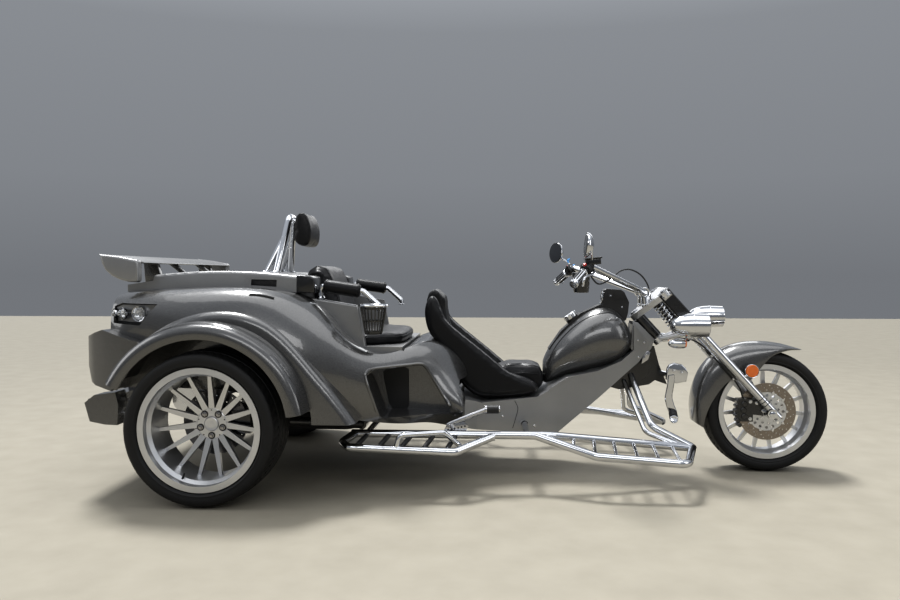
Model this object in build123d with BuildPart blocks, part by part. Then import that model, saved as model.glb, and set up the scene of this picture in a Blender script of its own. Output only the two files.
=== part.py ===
from build123d import *

import os
from math import cos, radians, sin

os.makedirs("parts", exist_ok=True)

# A three-wheeled motor trike: a low rider's seat, a passenger bench behind it and a boot over
# the rear axle. Millimetres. +X points ahead, +Y to the rider's left, +Z up. The origin is on
# the ground, midway along the length and on the centre line.

# Wheels: centres, radii and widths
REAR_AXLE_X = -1170.0
REAR_TYRE_R = 340.0
REAR_TYRE_WIDTH = 285.0
REAR_SEAT_R = 254.0
REAR_FLANGE_R = 271.0
REAR_HUB_FACE = -29.0
REAR_HUB_R = 72.0
REAR_DISC_R = 148.0
HALF_TRACK_OUTSIDE = 875.0
FRONT_AXLE_X = 1490.0
FRONT_TYRE_R = 310.0
FRONT_TYRE_WIDTH = 176.0
FRONT_SEAT_R = 228.0
FRONT_FLANGE_R = 243.0
FRONT_HUB_HALF = 62.0
FRONT_HUB_R = 46.0
FRONT_BARREL_R = 29.0
FRONT_DISC_R = 146.0
SPOKES = 15
RIM_WALL = 10.0
FLANGE_WALL = 9.0
DROP = 14.0
DISC_THICK = 7.0
REAR_STUB_R = 24.0
FRONT_PIN_R = 11.0
PIN_CLEARANCE = 0.1

# Fork: rake from the vertical, and offsets ahead of the steering axis
RAKE = 42.5
AXLE_AHEAD = 150.0
LEG_AHEAD = 164.0
LEG_Y = 122.0
LEG_R = 22.5
LEG_BOTTOM = -42.0
LEG_TOP = 818.0
HEAD_BOTTOM = 650.0
HEAD_TOP = 782.0
HEAD_R = 33.0
STEM_R = 17.0
YOKE_GAP = 5.0
YOKE_THICK = 30.0
YOKE_R = 31.0

# Body: walls, wheel wells, flares, boot and deck
TYRE_ROOM = 50.0
FLARE_RISE = 78.0
WELL_R = REAR_TYRE_R + TYRE_ROOM
FLARE_R = WELL_R + FLARE_RISE
WELL_WALL_Y = HALF_TRACK_OUTSIDE - REAR_TYRE_WIDTH - 15
FLARE_EDGE_Y = HALF_TRACK_OUTSIDE + 5
HAUNCH_Y = FLARE_EDGE_Y - 120
FLARE_WALL = 16.0
SEAM = 0.6
BOOT_HALF_WIDTH = 425.0
BOOT_FRONT_X = -1134.0
BOOT_REAR_X = -1605.0
BOOT_FLOOR_Z = 560.0
LID_GAP = 6.0
LID_WALL = 14.0
DECK_Y = 490.0
HINGE_X = -1128.0
HINGE_Z = 1024.0
TAIL_X = -1655.0
REAR_X = -1800.0
SEAT_TUB_HALF = 441.0
PANEL_WALL = 35.0

# Tubes
RAIL_R = 19.0
RUNG_R = 9.0
BAR_R = 15.0
HOOP_R = 17.0
RAIL_Z = 258.0
CROSS_TUBE_R = 16.0
CROSS_TUBE_X = (-500, 250)

RAKE_SIN = sin(radians(RAKE))
RAKE_COS = cos(radians(RAKE))
FRONT_CENTRE = Vector(FRONT_AXLE_X, 0, FRONT_TYRE_R)
REAR_Y = HALF_TRACK_OUTSIDE - REAR_TYRE_WIDTH / 2

# The fork's own frame: x ahead of the steering axis, y to the left, z up along the axis
FORK = Plane(
    origin=(FRONT_AXLE_X - AXLE_AHEAD * RAKE_COS, 0, FRONT_TYRE_R - AXLE_AHEAD * RAKE_SIN),
    x_dir=(RAKE_COS, 0, RAKE_SIN),
    z_dir=(-RAKE_SIN, 0, RAKE_COS),
)


def save(part, label):
    """Name one finished piece and write it."""
    part.label = label
    export_step(part, f"parts/{label}.step")


def in_fork(x, y, z):
    """Return the world place of a point given in the fork's frame."""
    return FORK.from_local_coords(Vector(x, y, z))


def tube(points, radius, bend=None):
    """Add a round tube along straight runs, with bends where a radius is given."""
    with BuildLine() as path:
        if bend is None:
            Polyline(*points)
        else:
            FilletPolyline(*points, radius=bend)
    with BuildSketch(Plane(origin=path.line @ 0, z_dir=path.line % 0)) as ring:
        Circle(radius)
    sweep(sections=ring.sketch, path=path.line)


def rod(start, end, radius):
    """Add a straight round bar between two points."""
    reach = Vector(*end) - Vector(*start)
    with BuildSketch(Plane(origin=start, z_dir=reach)) as ring:
        Circle(radius)
    extrude(ring.sketch, amount=reach.length)


def side_plate(points, y_low, y_high, mode=Mode.ADD):
    """Add a plate with the given XZ outline, between two Y values."""
    with BuildSketch(Plane.XZ.offset(-y_high)) as plate:
        with BuildLine():
            Polyline(*points, close=True)
        make_face()
    extrude(plate.sketch, amount=y_high - y_low, mode=mode)


def plan_plate(points, z_low, z_high, mode=Mode.ADD):
    """Add a plate with the given XY outline, between two Z values."""
    with BuildSketch(Plane.XY.offset(z_low)) as plate:
        with BuildLine():
            Polyline(*points, close=True)
        make_face()
    extrude(plate.sketch, amount=z_high - z_low, mode=mode)


def block(low, high, mode=Mode.ADD):
    """Add a box between two corners."""
    size = [h - l for l, h in zip(low, high)]
    with Locations([((low[0] + high[0]) / 2, (low[1] + high[1]) / 2, (low[2] + high[2]) / 2)]):
        Box(*size, mode=mode)


def mirrored(points):
    """Return a half outline in plan (x, y) with its mirror image, as one closed outline."""
    return points + [(x, -y) for x, y in reversed(points)]


# Wheel sections are drawn with x to the outboard side and y out from the axle.


def rim_outline(half, seat_r, flange_r):
    """Return the outline of a rim's barrel, between its two flanges."""
    bead = half - FLANGE_WALL
    well = seat_r - DROP
    outside = [
        (bead, flange_r), (bead, seat_r), (bead - 28, seat_r), (bead - 44, well),
    ]
    inside = [
        (bead - 40, well - RIM_WALL), (bead - 24, seat_r - RIM_WALL), (half, seat_r - RIM_WALL),
    ]
    return (
        [(half, flange_r)] + outside
        + [(-x, y) for x, y in reversed(outside)] + [(-half, flange_r)]
        + [(-x, y) for x, y in reversed(inside)] + inside
    )


def make_tyre(section, spin, half, bead, seat_r, flange_r, tyre_r):
    """Return a tyre that seats between a rim's flanges."""
    tread = half - 22
    shoulder = tyre_r - 9
    middle = (flange_r + shoulder) / 2 - 4
    with BuildPart() as tyre:
        with BuildSketch(section):
            with BuildLine():
                Polyline((-bead, flange_r), (-bead, seat_r), (bead, seat_r), (bead, flange_r))
                ThreePointArc((bead, flange_r), (half, middle), (tread, shoulder))
                ThreePointArc((tread, shoulder), (0, tyre_r), (-tread, shoulder))
                ThreePointArc((-tread, shoulder), (-half, middle), (-bead, flange_r))
            make_face()
        revolve(axis=spin)
    return tyre.part


def make_disc(section, spin, place, inner_r, outer_r):
    """Return a flat brake disc."""
    with BuildPart() as disc:
        with BuildSketch(section):
            with Locations([(place + DISC_THICK / 2, (inner_r + outer_r) / 2)]):
                Rectangle(DISC_THICK, outer_r - inner_r)
        revolve(axis=spin)
    return disc.part


def make_rim(section, spin, half, seat_r, flange_r, hub, spoke_root, spoke_tip, root_r):
    """Return a rim: its barrel, its hub from an outline and its spokes."""
    centre = section.origin
    outboard = section.x_dir
    tip_r = seat_r - DROP - RIM_WALL + 4
    with BuildPart() as spoke:
        for place, reach, width, depth in (
            (spoke_root, root_r, 28, 26),
            (spoke_tip, tip_r, 15, 17),
        ):
            middle = centre + outboard * place + Vector(0, 0, reach)
            with BuildSketch(Plane(origin=middle, x_dir=outboard, z_dir=(0, 0, 1))):
                Rectangle(depth, width)
        loft()
    with BuildPart() as rim:
        with BuildSketch(section):
            with BuildLine():
                Polyline(*rim_outline(half, seat_r, flange_r), close=True)
            make_face()
        revolve(axis=spin)
        with BuildSketch(section):
            with BuildLine():
                Polyline(*hub, close=True)
            make_face()
        revolve(axis=spin)
        for i in range(SPOKES):
            add(spoke.part.rotate(spin, 360 / SPOKES * i))
    return rim.part


rear_bore = REAR_STUB_R + PIN_CLEARANCE
rear_half = REAR_TYRE_WIDTH / 2 - 15
rear_hub_back = REAR_HUB_FACE - 48
rear_hub = [
    (rear_hub_back, rear_bore), (rear_hub_back, REAR_HUB_R), (REAR_HUB_FACE - 4, REAR_HUB_R),
    (REAR_HUB_FACE, REAR_HUB_R - 6), (REAR_HUB_FACE, 34), (REAR_HUB_FACE + 5, 31),
    (REAR_HUB_FACE + 5, 0), (REAR_HUB_FACE - 8, 0), (REAR_HUB_FACE - 8, rear_bore),
]
for name, side in (("right", -1), ("left", 1)):
    centre = Vector(REAR_AXLE_X, side * REAR_Y, REAR_TYRE_R)
    section = Plane(origin=centre, x_dir=(0, side, 0), z_dir=(side, 0, 0))
    spin = Axis(centre, (0, 1, 0))
    rim = make_rim(section, spin, rear_half, REAR_SEAT_R, REAR_FLANGE_R, rear_hub,
                   REAR_HUB_FACE - 15, REAR_HUB_FACE + 18, REAR_HUB_R - 5)
    save(rim, f"rear_rim_{name}")
    tyre = make_tyre(section, spin, REAR_TYRE_WIDTH / 2, rear_half - FLANGE_WALL,
                     REAR_SEAT_R, REAR_FLANGE_R, REAR_TYRE_R)
    save(tyre, f"rear_tyre_{name}")
    disc = make_disc(section, spin, rear_hub_back - DISC_THICK, rear_bore + 6, REAR_DISC_R)
    save(disc, f"rear_disc_{name}")

front_bore = FRONT_PIN_R + PIN_CLEARANCE
front_half = FRONT_TYRE_WIDTH / 2 - 14
front_hub = [
    (FRONT_HUB_HALF, front_bore), (FRONT_HUB_HALF, FRONT_BARREL_R), (20, FRONT_BARREL_R),
    (16, FRONT_HUB_R), (-16, FRONT_HUB_R), (-20, FRONT_BARREL_R),
    (-FRONT_HUB_HALF, FRONT_BARREL_R), (-FRONT_HUB_HALF, front_bore),
]
section = Plane(origin=FRONT_CENTRE, x_dir=(0, -1, 0), z_dir=(-1, 0, 0))
spin = Axis(FRONT_CENTRE, (0, 1, 0))
rim = make_rim(section, spin, front_half, FRONT_SEAT_R, FRONT_FLANGE_R, front_hub,
               0, 0, FRONT_HUB_R - 4)
save(rim, "front_rim")
tyre = make_tyre(section, spin, FRONT_TYRE_WIDTH / 2, front_half - FLANGE_WALL,
                 FRONT_SEAT_R, FRONT_FLANGE_R, FRONT_TYRE_R)
save(tyre, "front_tyre")
disc = make_disc(section, spin, FRONT_HUB_HALF, front_bore + 4, FRONT_DISC_R)
save(disc, "front_disc")

# Rear body: stations along the length. Columns: x, then z and half width of the sill, of the
# side, of the shoulder and of the seam under the deck.
BODY_STATIONS = [
    (TAIL_X, 486, 596, 690, 650, 862, 634, 924, 484),
    (-1540, 484, 624, 690, 690, 870, 670, 931, 490),
    (-1360, 480, 640, 700, 716, 884, 684, 938, 496),
    (-1170, 470, 652, 720, 736, 898, 690, 943, 500),
    (-980, 440, 660, 712, 742, 896, 684, 939, 502),
    (-830, 396, 646, 690, 734, 868, 640, 920, 498),
    (-700, 364, 622, 620, 690, 790, 604, 838, 520),
    (-600, 350, 600, 560, 640, 690, 590, 724, 540),
    (-480, 330, 560, 490, 590, 616, 552, 644, 520),
    (-310, 306, 470, 470, 500, 616, 462, 664, 410),
    (-190, 296, 400, 450, 440, 620, 380, 676, 300),
    (-70, 286, 320, 322, 330, 396, 306, 436, 240),
]
RECESS = [(-429, 344), (-488, 549), (-463, 574), (-240, 585), (-92, 344)]
RECESS_DEPTH_Y = 285.0
RECESS_ROUND = 22.0
SEAT_TUB_REAR_X = -841.0
SEAT_TUB_FRONT_X = -330.0
SEAT_TUB_FLOOR = 622.0
BAY_HALF = 330.0
# The haunch: the raised band of body over each flare, running on ahead of it
HAUNCH = [(-1596, 596), (-1454, 728), (-1294, 816), (-1110, 848), (-918, 804), (-795, 705),
          (-700, 595), (-611, 490), (-545, 406), (-508, 356)]
HAUNCH_LOW_Z = 350.0
HAUNCH_ROUND = 40.0
# Sunk bezel of the tail lamps on each side
BEZEL = [(-1637, 790), (-1644, 866), (-1608, 880), (-1422, 876), (-1500, 780)]
BEZEL_DEPTH_Y = 622.0

with BuildPart() as haunch:
    with BuildSketch(Plane(origin=(0, -WELL_WALL_Y, 0), x_dir=(1, 0, 0), z_dir=(0, -1, 0))):
        with BuildLine():
            Spline(*HAUNCH)
            Polyline(HAUNCH[-1], (HAUNCH[-1][0] - 30, HAUNCH_LOW_Z), (REAR_AXLE_X, HAUNCH_LOW_Z),
                     (HAUNCH[0][0], 540), HAUNCH[0])
        make_face()
    extrude(amount=HAUNCH_Y - WELL_WALL_Y)
    crest = haunch.faces().sort_by(Axis.Y)[0].edges().sort_by(SortBy.LENGTH)[-1]
    fillet(crest, HAUNCH_ROUND)
    mirror(about=Plane.XZ)

with BuildPart() as recesses:
    for side in (-1, 1):
        side_plate(RECESS, *sorted((side * RECESS_DEPTH_Y, side * 700)))
    fillet(recesses.edges().filter_by(Axis.Y), RECESS_ROUND)

with BuildPart() as rear_body:
    for x, sill_z, sill_y, side_z, side_y, top_z, top_y, seam_z, seam_y in BODY_STATIONS:
        half = [(sill_y, sill_z), (side_y, side_z), (top_y, top_z), (seam_y, seam_z)]
        other = [(-y, z) for y, z in reversed(half)]
        with BuildSketch(Plane(origin=(x, 0, 0), x_dir=(0, 1, 0), z_dir=(1, 0, 0))):
            with BuildLine():
                Spline(*half)
                Line(half[-1], other[0])
                Spline(*other)
                Line(other[-1], half[0])
            make_face()
    loft()
    block((BODY_STATIONS[-1][0], -400, 200), (100, 400, 500), mode=Mode.SUBTRACT)
    add(haunch.part)
    for side in (-1, 1):
        with BuildSketch(Plane(origin=(REAR_AXLE_X, side * WELL_WALL_Y, REAR_TYRE_R),
                               z_dir=(0, side, 0))) as well:
            Circle(FLARE_R + SEAM)
        extrude(well.sketch, amount=HALF_TRACK_OUTSIDE - WELL_WALL_Y, mode=Mode.SUBTRACT)
        side_plate(BEZEL, *sorted((side * BEZEL_DEPTH_Y, side * 800)), mode=Mode.SUBTRACT)
    add(recesses.part, mode=Mode.SUBTRACT)
    block((BOOT_REAR_X, -BOOT_HALF_WIDTH, BOOT_FLOOR_Z), (BOOT_FRONT_X, BOOT_HALF_WIDTH, 1100),
          mode=Mode.SUBTRACT)
    block((SEAT_TUB_REAR_X, -SEAT_TUB_HALF, SEAT_TUB_FLOOR),
          (SEAT_TUB_FRONT_X, SEAT_TUB_HALF, 1100), mode=Mode.SUBTRACT)
    block((-1110, -BAY_HALF, 200), (-520, BAY_HALF, 600), mode=Mode.SUBTRACT)
    block((-521, -140, 200), (-60, 140, 380), mode=Mode.SUBTRACT)
save(rear_body.part, "rear_body")

# Flares: a rounded arch over each rear wheel, open below, with a crease above its outer band
FLARE_START = 9.0
FLARE_END = 154.0
with BuildPart() as flares:
    inner = WELL_WALL_Y
    edge = FLARE_EDGE_Y
    under = FLARE_R - FLARE_WALL
    arch = Plane(origin=(REAR_AXLE_X, 0, REAR_TYRE_R), x_dir=(0, -1, 0), z_dir=(-1, 0, 0))
    with BuildSketch(arch):
        with BuildLine():
            Polyline((inner, under), (inner, FLARE_R), (edge - 100, FLARE_R), (edge - 18, FLARE_R - 14))
            ThreePointArc((edge - 18, FLARE_R - 14), (edge, FLARE_R - 48), (edge - 10, WELL_R))
            Line((edge - 10, WELL_R), (edge - 26, WELL_R + 4))
            ThreePointArc((edge - 26, WELL_R + 4), (edge - 18, FLARE_R - 48), (edge - 30, under - 14))
            Polyline((edge - 30, under - 14), (edge - 104, under), (inner, under))
        make_face()
    spin = Axis((REAR_AXLE_X, 0, REAR_TYRE_R), (0, -1, 0))
    revolve(axis=spin, revolution_arc=FLARE_END - FLARE_START)
right_flare = flares.part.rotate(spin, FLARE_START - 90)
with BuildPart() as flares:
    add(right_flare)
    mirror(about=Plane.XZ)
save(flares.part, "flares")

# Deck around the boot lid, with a step down to the tail and a vent in each side
DECK_CREST = (-1090, 1026)
DECK_STEP = (-1523, 1009)
DECK_NOSE = (-832, 1004)
VENT = [(-1052, 988), (-930, 985), (-932, 952), (-1055, 960)]
VENT_DEPTH = 22.0
with BuildPart() as rear_deck:
    with BuildSketch(Plane(origin=(0, DECK_Y, 0), x_dir=(1, 0, 0), z_dir=(0, -1, 0))):
        with BuildLine():
            Polyline(DECK_NOSE, (-757, 999), (-751, 926), (-826, 924))
            ThreePointArc((-826, 924), (-1170, 946), (-1518, 938))
            Polyline((-1518, 938), (-1655, 926), (-1655, 962), (-1530, 981), DECK_STEP)
            ThreePointArc(DECK_STEP, DECK_CREST, DECK_NOSE)
        make_face()
    extrude(amount=2 * DECK_Y)
    long_edges = rear_deck.edges().filter_by(GeomType.CIRCLE)
    fillet([e for e in long_edges if (e @ 0.5).Z > 1000], 16)
    block((-1700, -BOOT_HALF_WIDTH - LID_GAP, 900),
          (HINGE_X + LID_GAP, BOOT_HALF_WIDTH + LID_GAP, 1100), mode=Mode.SUBTRACT)
    block((-836, -345, 900), (-700, 345, 1100), mode=Mode.SUBTRACT)
    block((-836, -DECK_Y - 10, 900), (-700, DECK_Y + 10, 926), mode=Mode.SUBTRACT)
    for side in (-1, 1):
        side_plate(VENT, *sorted((side * (DECK_Y - VENT_DEPTH), side * (DECK_Y + 10))),
                   mode=Mode.SUBTRACT)
    add(rear_body.part, mode=Mode.SUBTRACT)
save(rear_deck.part, "rear_deck")

# Boot lid: a skin that carries the deck's line back to its step
LID_FRONT = (HINGE_X, HINGE_Z)
LID_MIDDLE = (-1330, 1023)
with BuildPart() as boot_lid:
    with BuildSketch(Plane(origin=(0, BOOT_HALF_WIDTH, 0), x_dir=(1, 0, 0), z_dir=(0, -1, 0))):
        with BuildLine():
            Polyline((-1655, 944), (-1655, 962), (-1530, 981), DECK_STEP)
            ThreePointArc(DECK_STEP, LID_MIDDLE, LID_FRONT)
            Line(LID_FRONT, (HINGE_X, HINGE_Z - LID_WALL))
            ThreePointArc((HINGE_X, HINGE_Z - LID_WALL), (LID_MIDDLE[0], LID_MIDDLE[1] - LID_WALL),
                          (-1512, DECK_STEP[1] - LID_WALL))
            Polyline((-1512, DECK_STEP[1] - LID_WALL), (-1519, 981 - LID_WALL), (-1655, 944))
        make_face()
    extrude(amount=2 * BOOT_HALF_WIDTH)
save(boot_lid.part, "boot_lid")

# Spoiler: a cambered blade between two deep ends, on two pairs of pylons that stand on the lid
SPOILER_Y = 610.0
SPOILER_END_Y = 560.0
SPOILER_END = [(-1733, 1104), (-1640, 1094), (-1551, 1076), (-1546, 975), (-1640, 988),
               (-1706, 1012)]
# Columns: low rear x and z, high rear, high front, low front, then near and far half widths
PYLONS = [
    ((-1640, 1075), (-1570, 1064), (-1545, 979), (-1630, 966), 330, 360),
    ((-1600, 1068), (-1550, 1062), (-1490, 1014), (-1518, 1010), 160, 180),
]
with BuildPart() as spoiler:
    with BuildSketch(Plane(origin=(0, SPOILER_END_Y, 0), x_dir=(1, 0, 0), z_dir=(0, -1, 0))):
        with BuildLine():
            ThreePointArc((-1733, 1104), (-1640, 1096), (-1536, 1068))
            ThreePointArc((-1536, 1068), (-1560, 1058), (-1600, 1062))
            ThreePointArc((-1600, 1062), (-1670, 1074), (-1730, 1092))
            Line((-1730, 1092), (-1733, 1104))
        make_face()
    extrude(amount=2 * SPOILER_END_Y)
    for side in (-1, 1):
        side_plate(SPOILER_END, *sorted((side * SPOILER_END_Y, side * SPOILER_Y)))
        for *corners, near, far in PYLONS:
            side_plate(corners, *sorted((side * near, side * far)))
    tips = [e for e in spoiler.edges().group_by(Axis.Y)[0] + spoiler.edges().group_by(Axis.Y)[-1]]
    fillet(tips, 14)
    add(boot_lid.part, mode=Mode.SUBTRACT)
save(spoiler.part, "spoiler")

# Tail lamps: a backing in each sunk bezel with three round lamps
LAMP_ROW = [(-1622, 834), (-1576, 832), (-1520, 830)]
TAIL_LAMP_R = 25.0
with BuildPart() as tail_lamps:
    for side in (-1, 1):
        side_plate([(-1636, 792), (-1643, 864), (-1608, 878), (-1426, 874), (-1500, 782)],
                   *sorted((side * (BEZEL_DEPTH_Y + 0.5), side * (BEZEL_DEPTH_Y + 8))))
        for x, z in LAMP_ROW:
            with BuildSketch(Plane(origin=(x, side * (BEZEL_DEPTH_Y + 6), z),
                                   z_dir=(-0.3, side, 0))) as lamp:
                Circle(TAIL_LAMP_R)
            extrude(lamp.sketch, amount=26, taper=-6)
    add(rear_body.part, mode=Mode.SUBTRACT)
save(tail_lamps.part, "tail_lamps")

# Bumper and, below it, the valance
BUMPER_PLAN = [(-1640, 600), (-1480, 660), (-1484, 752), (-1560, 756), (-1700, 712), (-1770, 640),
               (-1784, 520)]
BUMPER_SIDE = [(-1790, 700), (-1780, 724), (-1660, 762), (-1470, 706), (-1470, 480), (-1600, 484),
               (-1740, 520), (-1778, 610)]
with BuildPart() as bumpers:
    plan_plate(mirrored(BUMPER_PLAN), 480, 772)
    side_plate(BUMPER_SIDE, -800, 800, mode=Mode.INTERSECT)
    for side in (-1, 1):
        with BuildSketch(Plane(origin=(REAR_AXLE_X, side * 500, REAR_TYRE_R),
                               z_dir=(0, side, 0))) as well:
            Circle(FLARE_R + SEAM)
        extrude(well.sketch, amount=400, mode=Mode.SUBTRACT)
    add(rear_body.part, mode=Mode.SUBTRACT)
    side_plate([(REAR_X, 428), (-1775, 438), (-1690, 438), (-1690, 322), (-1775, 332)], -600, 600)
    for side in (-1, 1):
        side_plate([(-1786, 420), (-1740, 456), (-1640, 470), (-1626, 409), (-1632, 318),
                    (-1690, 320), (-1762, 334)], *sorted((side * 560, side * 655)))
        side_plate([(-1740, 436), (-1700, 436), (-1670, 524), (-1720, 524)],
                   *sorted((side * 300, side * 330)))
save(bumpers.part, "bumpers")

# Passenger tub: side panels and floor of a satin shell
TUB_SIDE = SEAT_TUB_HALF - 1
TUB_INSIDE = TUB_SIDE - PANEL_WALL
with BuildPart() as passenger_shell:
    for side in (-1, 1):
        side_plate([(-828, 909), (-551, 862), (-512, 642), (-540, 630), (-828, 630)],
                   *sorted((side * TUB_INSIDE, side * TUB_SIDE)))
    fillet([e for e in passenger_shell.edges() if abs((e @ 0.5).Y) > TUB_SIDE - 1
            and (e @ 0.5).Z > 700 and (e @ 0.5).X > -800], 10)
    block((-840, -TUB_SIDE, 630), (-822, TUB_SIDE, 922))
    block((-840, -TUB_SIDE, SEAT_TUB_FLOOR), (-340, TUB_SIDE, 666))
save(passenger_shell.part, "passenger_shell")

with BuildPart() as passenger_bench:
    plan_plate(mirrored([(-700, TUB_INSIDE - 6), (-460, TUB_INSIDE - 6), (-440, TUB_INSIDE - 70),
                         (-345, 320), (-316, 250), (-310, 60)]), 666.5, 757)
save(passenger_bench.part, "passenger_bench")

with BuildPart() as passenger_backrest:
    side_plate([(-821, 758), (-821, 1008), (-862, 1010), (-850, 1048), (-790, 1076), (-735, 1058),
                (-704, 985), (-640, 758)], -330, 330)
save(passenger_backrest.part, "passenger_backrest")

# Chrome hoop on the deck with its rear braces, and the headrest on it
with BuildPart() as headrest_bar:
    tube([(-1028, -250, 1000), (-934, -235, 1300), (-934, 235, 1300), (-1028, 250, 1000)],
         HOOP_R, 60)
    for side in (-1, 1):
        rod((-1105, side * 250, 1000), (-985, side * 240, 1170), 14)
        rod((-945, side * 90, 1000), (-918, side * 90, 1292), 12)
    add(rear_deck.part, mode=Mode.SUBTRACT)
save(headrest_bar.part, "headrest_bar")

with BuildPart() as headrest_pad:
    side_plate([(-903, 1176), (-905, 1330), (-870, 1338), (-838, 1300), (-828, 1243),
                (-845, 1165)], -170, 170)
save(headrest_pad.part, "headrest_pad")

CUP_X = -478.0
CUP_Y = -508.0
with BuildPart() as cup_holder:
    with BuildSketch(Plane(origin=(CUP_X, CUP_Y, 0), x_dir=(1, 0, 0), z_dir=(0, -1, 0))) as wall:
        with BuildLine():
            Polyline((0, 731), (42, 731), (62, 860), (72, 862), (72, 872), (57, 872), (38, 736),
                     (0, 736), close=True)
        make_face()
    revolve(wall.sketch, axis=Axis((CUP_X, CUP_Y, 0), (0, 0, 1)))
    rod((CUP_X + 6, CUP_Y + 64, 867), (-458, -428, 852), 6)
save(cup_holder.part, "cup_holder")

# Armrests: chrome tubes with round pads
with BuildPart() as armrests:
    for side in (-1, 1):
        y = side * 423
        tube([(-735, y, 880), (-735, y, 958), (-530, y, 930), (-452, y, 860), (-452, y, 835)],
             14, 22)
    add(passenger_shell.part, mode=Mode.SUBTRACT)
    add(cup_holder.part, mode=Mode.SUBTRACT)
save(armrests.part, "armrests")

with BuildPart() as armrest_pads:
    for side in (-1, 1):
        y = side * 423
        rod((-708, y, 954.3), (-545, y, 932), 33)
    add(armrests.part, mode=Mode.SUBTRACT)
save(armrest_pads.part, "armrest_pads")

# Main frame: lower rails under the spine, the backbone and the steering head
with BuildPart() as main_frame:
    for side in (-1, 1):
        y = side * 100
        rod((-560, y, 262), (330, y, 262), 20)
    tube([(330, 0, 262), (430, 0, 262), (800, 0, 560)], 32, 90)
    rod((330, -118, 262), (330, 118, 262), 24)
    rod((780, 0, 543), in_fork(0, 0, HEAD_BOTTOM + 60), 30)
    rod((-560, -300, 262), (-560, 300, 262), 22)
    side_plate([(748, 412), (680, 430), (840, 545), (900, 640), (925, 640), (950, 545),
                (993, 440), (930, 462), (900, 440)], -40, 40)
    rod(in_fork(0, 0, HEAD_BOTTOM), in_fork(0, 0, HEAD_TOP), HEAD_R)
    with BuildSketch(FORK.offset(HEAD_BOTTOM - 200)) as bore:
        Circle(STEM_R + PIN_CLEARANCE)
    extrude(bore.sketch, amount=HEAD_TOP - HEAD_BOTTOM + 300, mode=Mode.SUBTRACT)
    with BuildSketch(FORK.offset(HEAD_BOTTOM - 80)) as below:
        Circle(YOKE_R + 14)
    extrude(below.sketch, amount=80, mode=Mode.SUBTRACT)
save(main_frame.part, "main_frame")

# Spine cover, tank and console
SPINE_SIDE = [
    (-62, 258), (10, 236), (405, 206), (840, 562), (880, 612), (896, 652), (812, 752),
    (812, 622), (745, 568), (618, 522), (465, 493), (378, 438), (366, 424), (313, 396),
    (35, 370), (-62, 400),
]
SPINE_PLAN = [(-62, 312), (10, 250), (250, 215), (405, 198), (620, 160), (850, 75), (900, 58)]
with BuildPart() as spine_cover:
    side_plate(SPINE_SIDE, -320, 320)
    plan_plate(mirrored(SPINE_PLAN), 200, 760, mode=Mode.INTERSECT)
    side_plate([(-100, 200), (-100, 330), (380, 330), (740, 560), (820, 640), (920, 640),
                (840, 500), (440, 200)], -45, 45, mode=Mode.SUBTRACT)
    block((-100, -140, 200), (330, 140, 300), mode=Mode.SUBTRACT)
    with BuildSketch(Plane(origin=(CROSS_TUBE_X[1], -400, RAIL_Z), z_dir=(0, 1, 0))) as port:
        Circle(CROSS_TUBE_R + 2)
    extrude(port.sketch, amount=800, mode=Mode.SUBTRACT)
    add(main_frame.part, mode=Mode.SUBTRACT)
save(spine_cover.part, "spine_cover")

# Tank stations. Columns: x, low z, high z and half width.
TANK_STATIONS = [
    (352, 452, 556, 52), (385, 452, 628, 92), (450, 482, 713, 122), (548, 512, 802, 146),
    (647, 538, 846, 152), (723, 566, 828, 140), (778, 604, 766, 108), (806, 632, 706, 60),
]
with BuildPart() as tank:
    for x, low, high, half in TANK_STATIONS:
        rise = high - low
        with BuildSketch(Plane(origin=(x, 0, 0), x_dir=(0, 1, 0), z_dir=(1, 0, 0))):
            with BuildLine():
                Spline((half * 0.55, low), (half, low + rise * 0.36), (half * 0.80, low + rise * 0.78),
                       (0, high), (-half * 0.80, low + rise * 0.78), (-half, low + rise * 0.36),
                       (-half * 0.55, low))
                Line((-half * 0.55, low), (half * 0.55, low))
            make_face()
    loft()
    add(spine_cover.part, mode=Mode.SUBTRACT)
    add(main_frame.part, mode=Mode.SUBTRACT)
save(tank.part, "tank")

with BuildPart() as tank_console:
    side_plate([(380, 620), (445, 716), (544, 808), (645, 854), (658, 850), (664, 928),
                (680, 936), (752, 932), (770, 920), (795, 867), (790, 812), (780, 775), (660, 700),
                (460, 620)], -40, 40)
    rod((520, 0, 760), (494, 0, 796), 34)
    add(tank.part, mode=Mode.SUBTRACT)
save(tank_console.part, "tank_console")

# Rider's bucket seat: two bolsters and the pan between them with its raised nose
BOLSTER = [(-228, 900), (-174, 846), (-110, 764), (-11, 693), (97, 603), (178, 522), (259, 487),
           (322, 433), (313, 397.5), (35, 371.5), (-20, 400), (-83, 456), (-147, 556),
           (-201, 693), (-255, 755), (-262, 827)]
PAN = [(-235, 880), (-205, 890), (-165, 760), (-95, 600), (0, 530), (150, 505), (165, 535),
       (325, 543), (356, 498), (360, 425), (313, 397.5), (35, 371.5), (-20, 400), (-83, 456),
       (-147, 556), (-201, 693), (-250, 755), (-258, 827)]
with BuildPart() as driver_seat:
    side_plate(PAN, -135, 135)
    for side in (-1, 1):
        side_plate(BOLSTER, *sorted((side * 135, side * 212)))
    for sunk in (rear_body, spine_cover, tank):
        add(sunk.part, mode=Mode.SUBTRACT)
save(driver_seat.part, "driver_seat")

# Engine and gearbox as one closed block, and the exhaust behind the axle
with BuildPart() as engine_block:
    block((-1060, -250, 228), (-620, 250, 588))
    fillet(engine_block.part.edges().filter_by(Axis.Z), 40)
save(engine_block.part, "engine_block")

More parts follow.
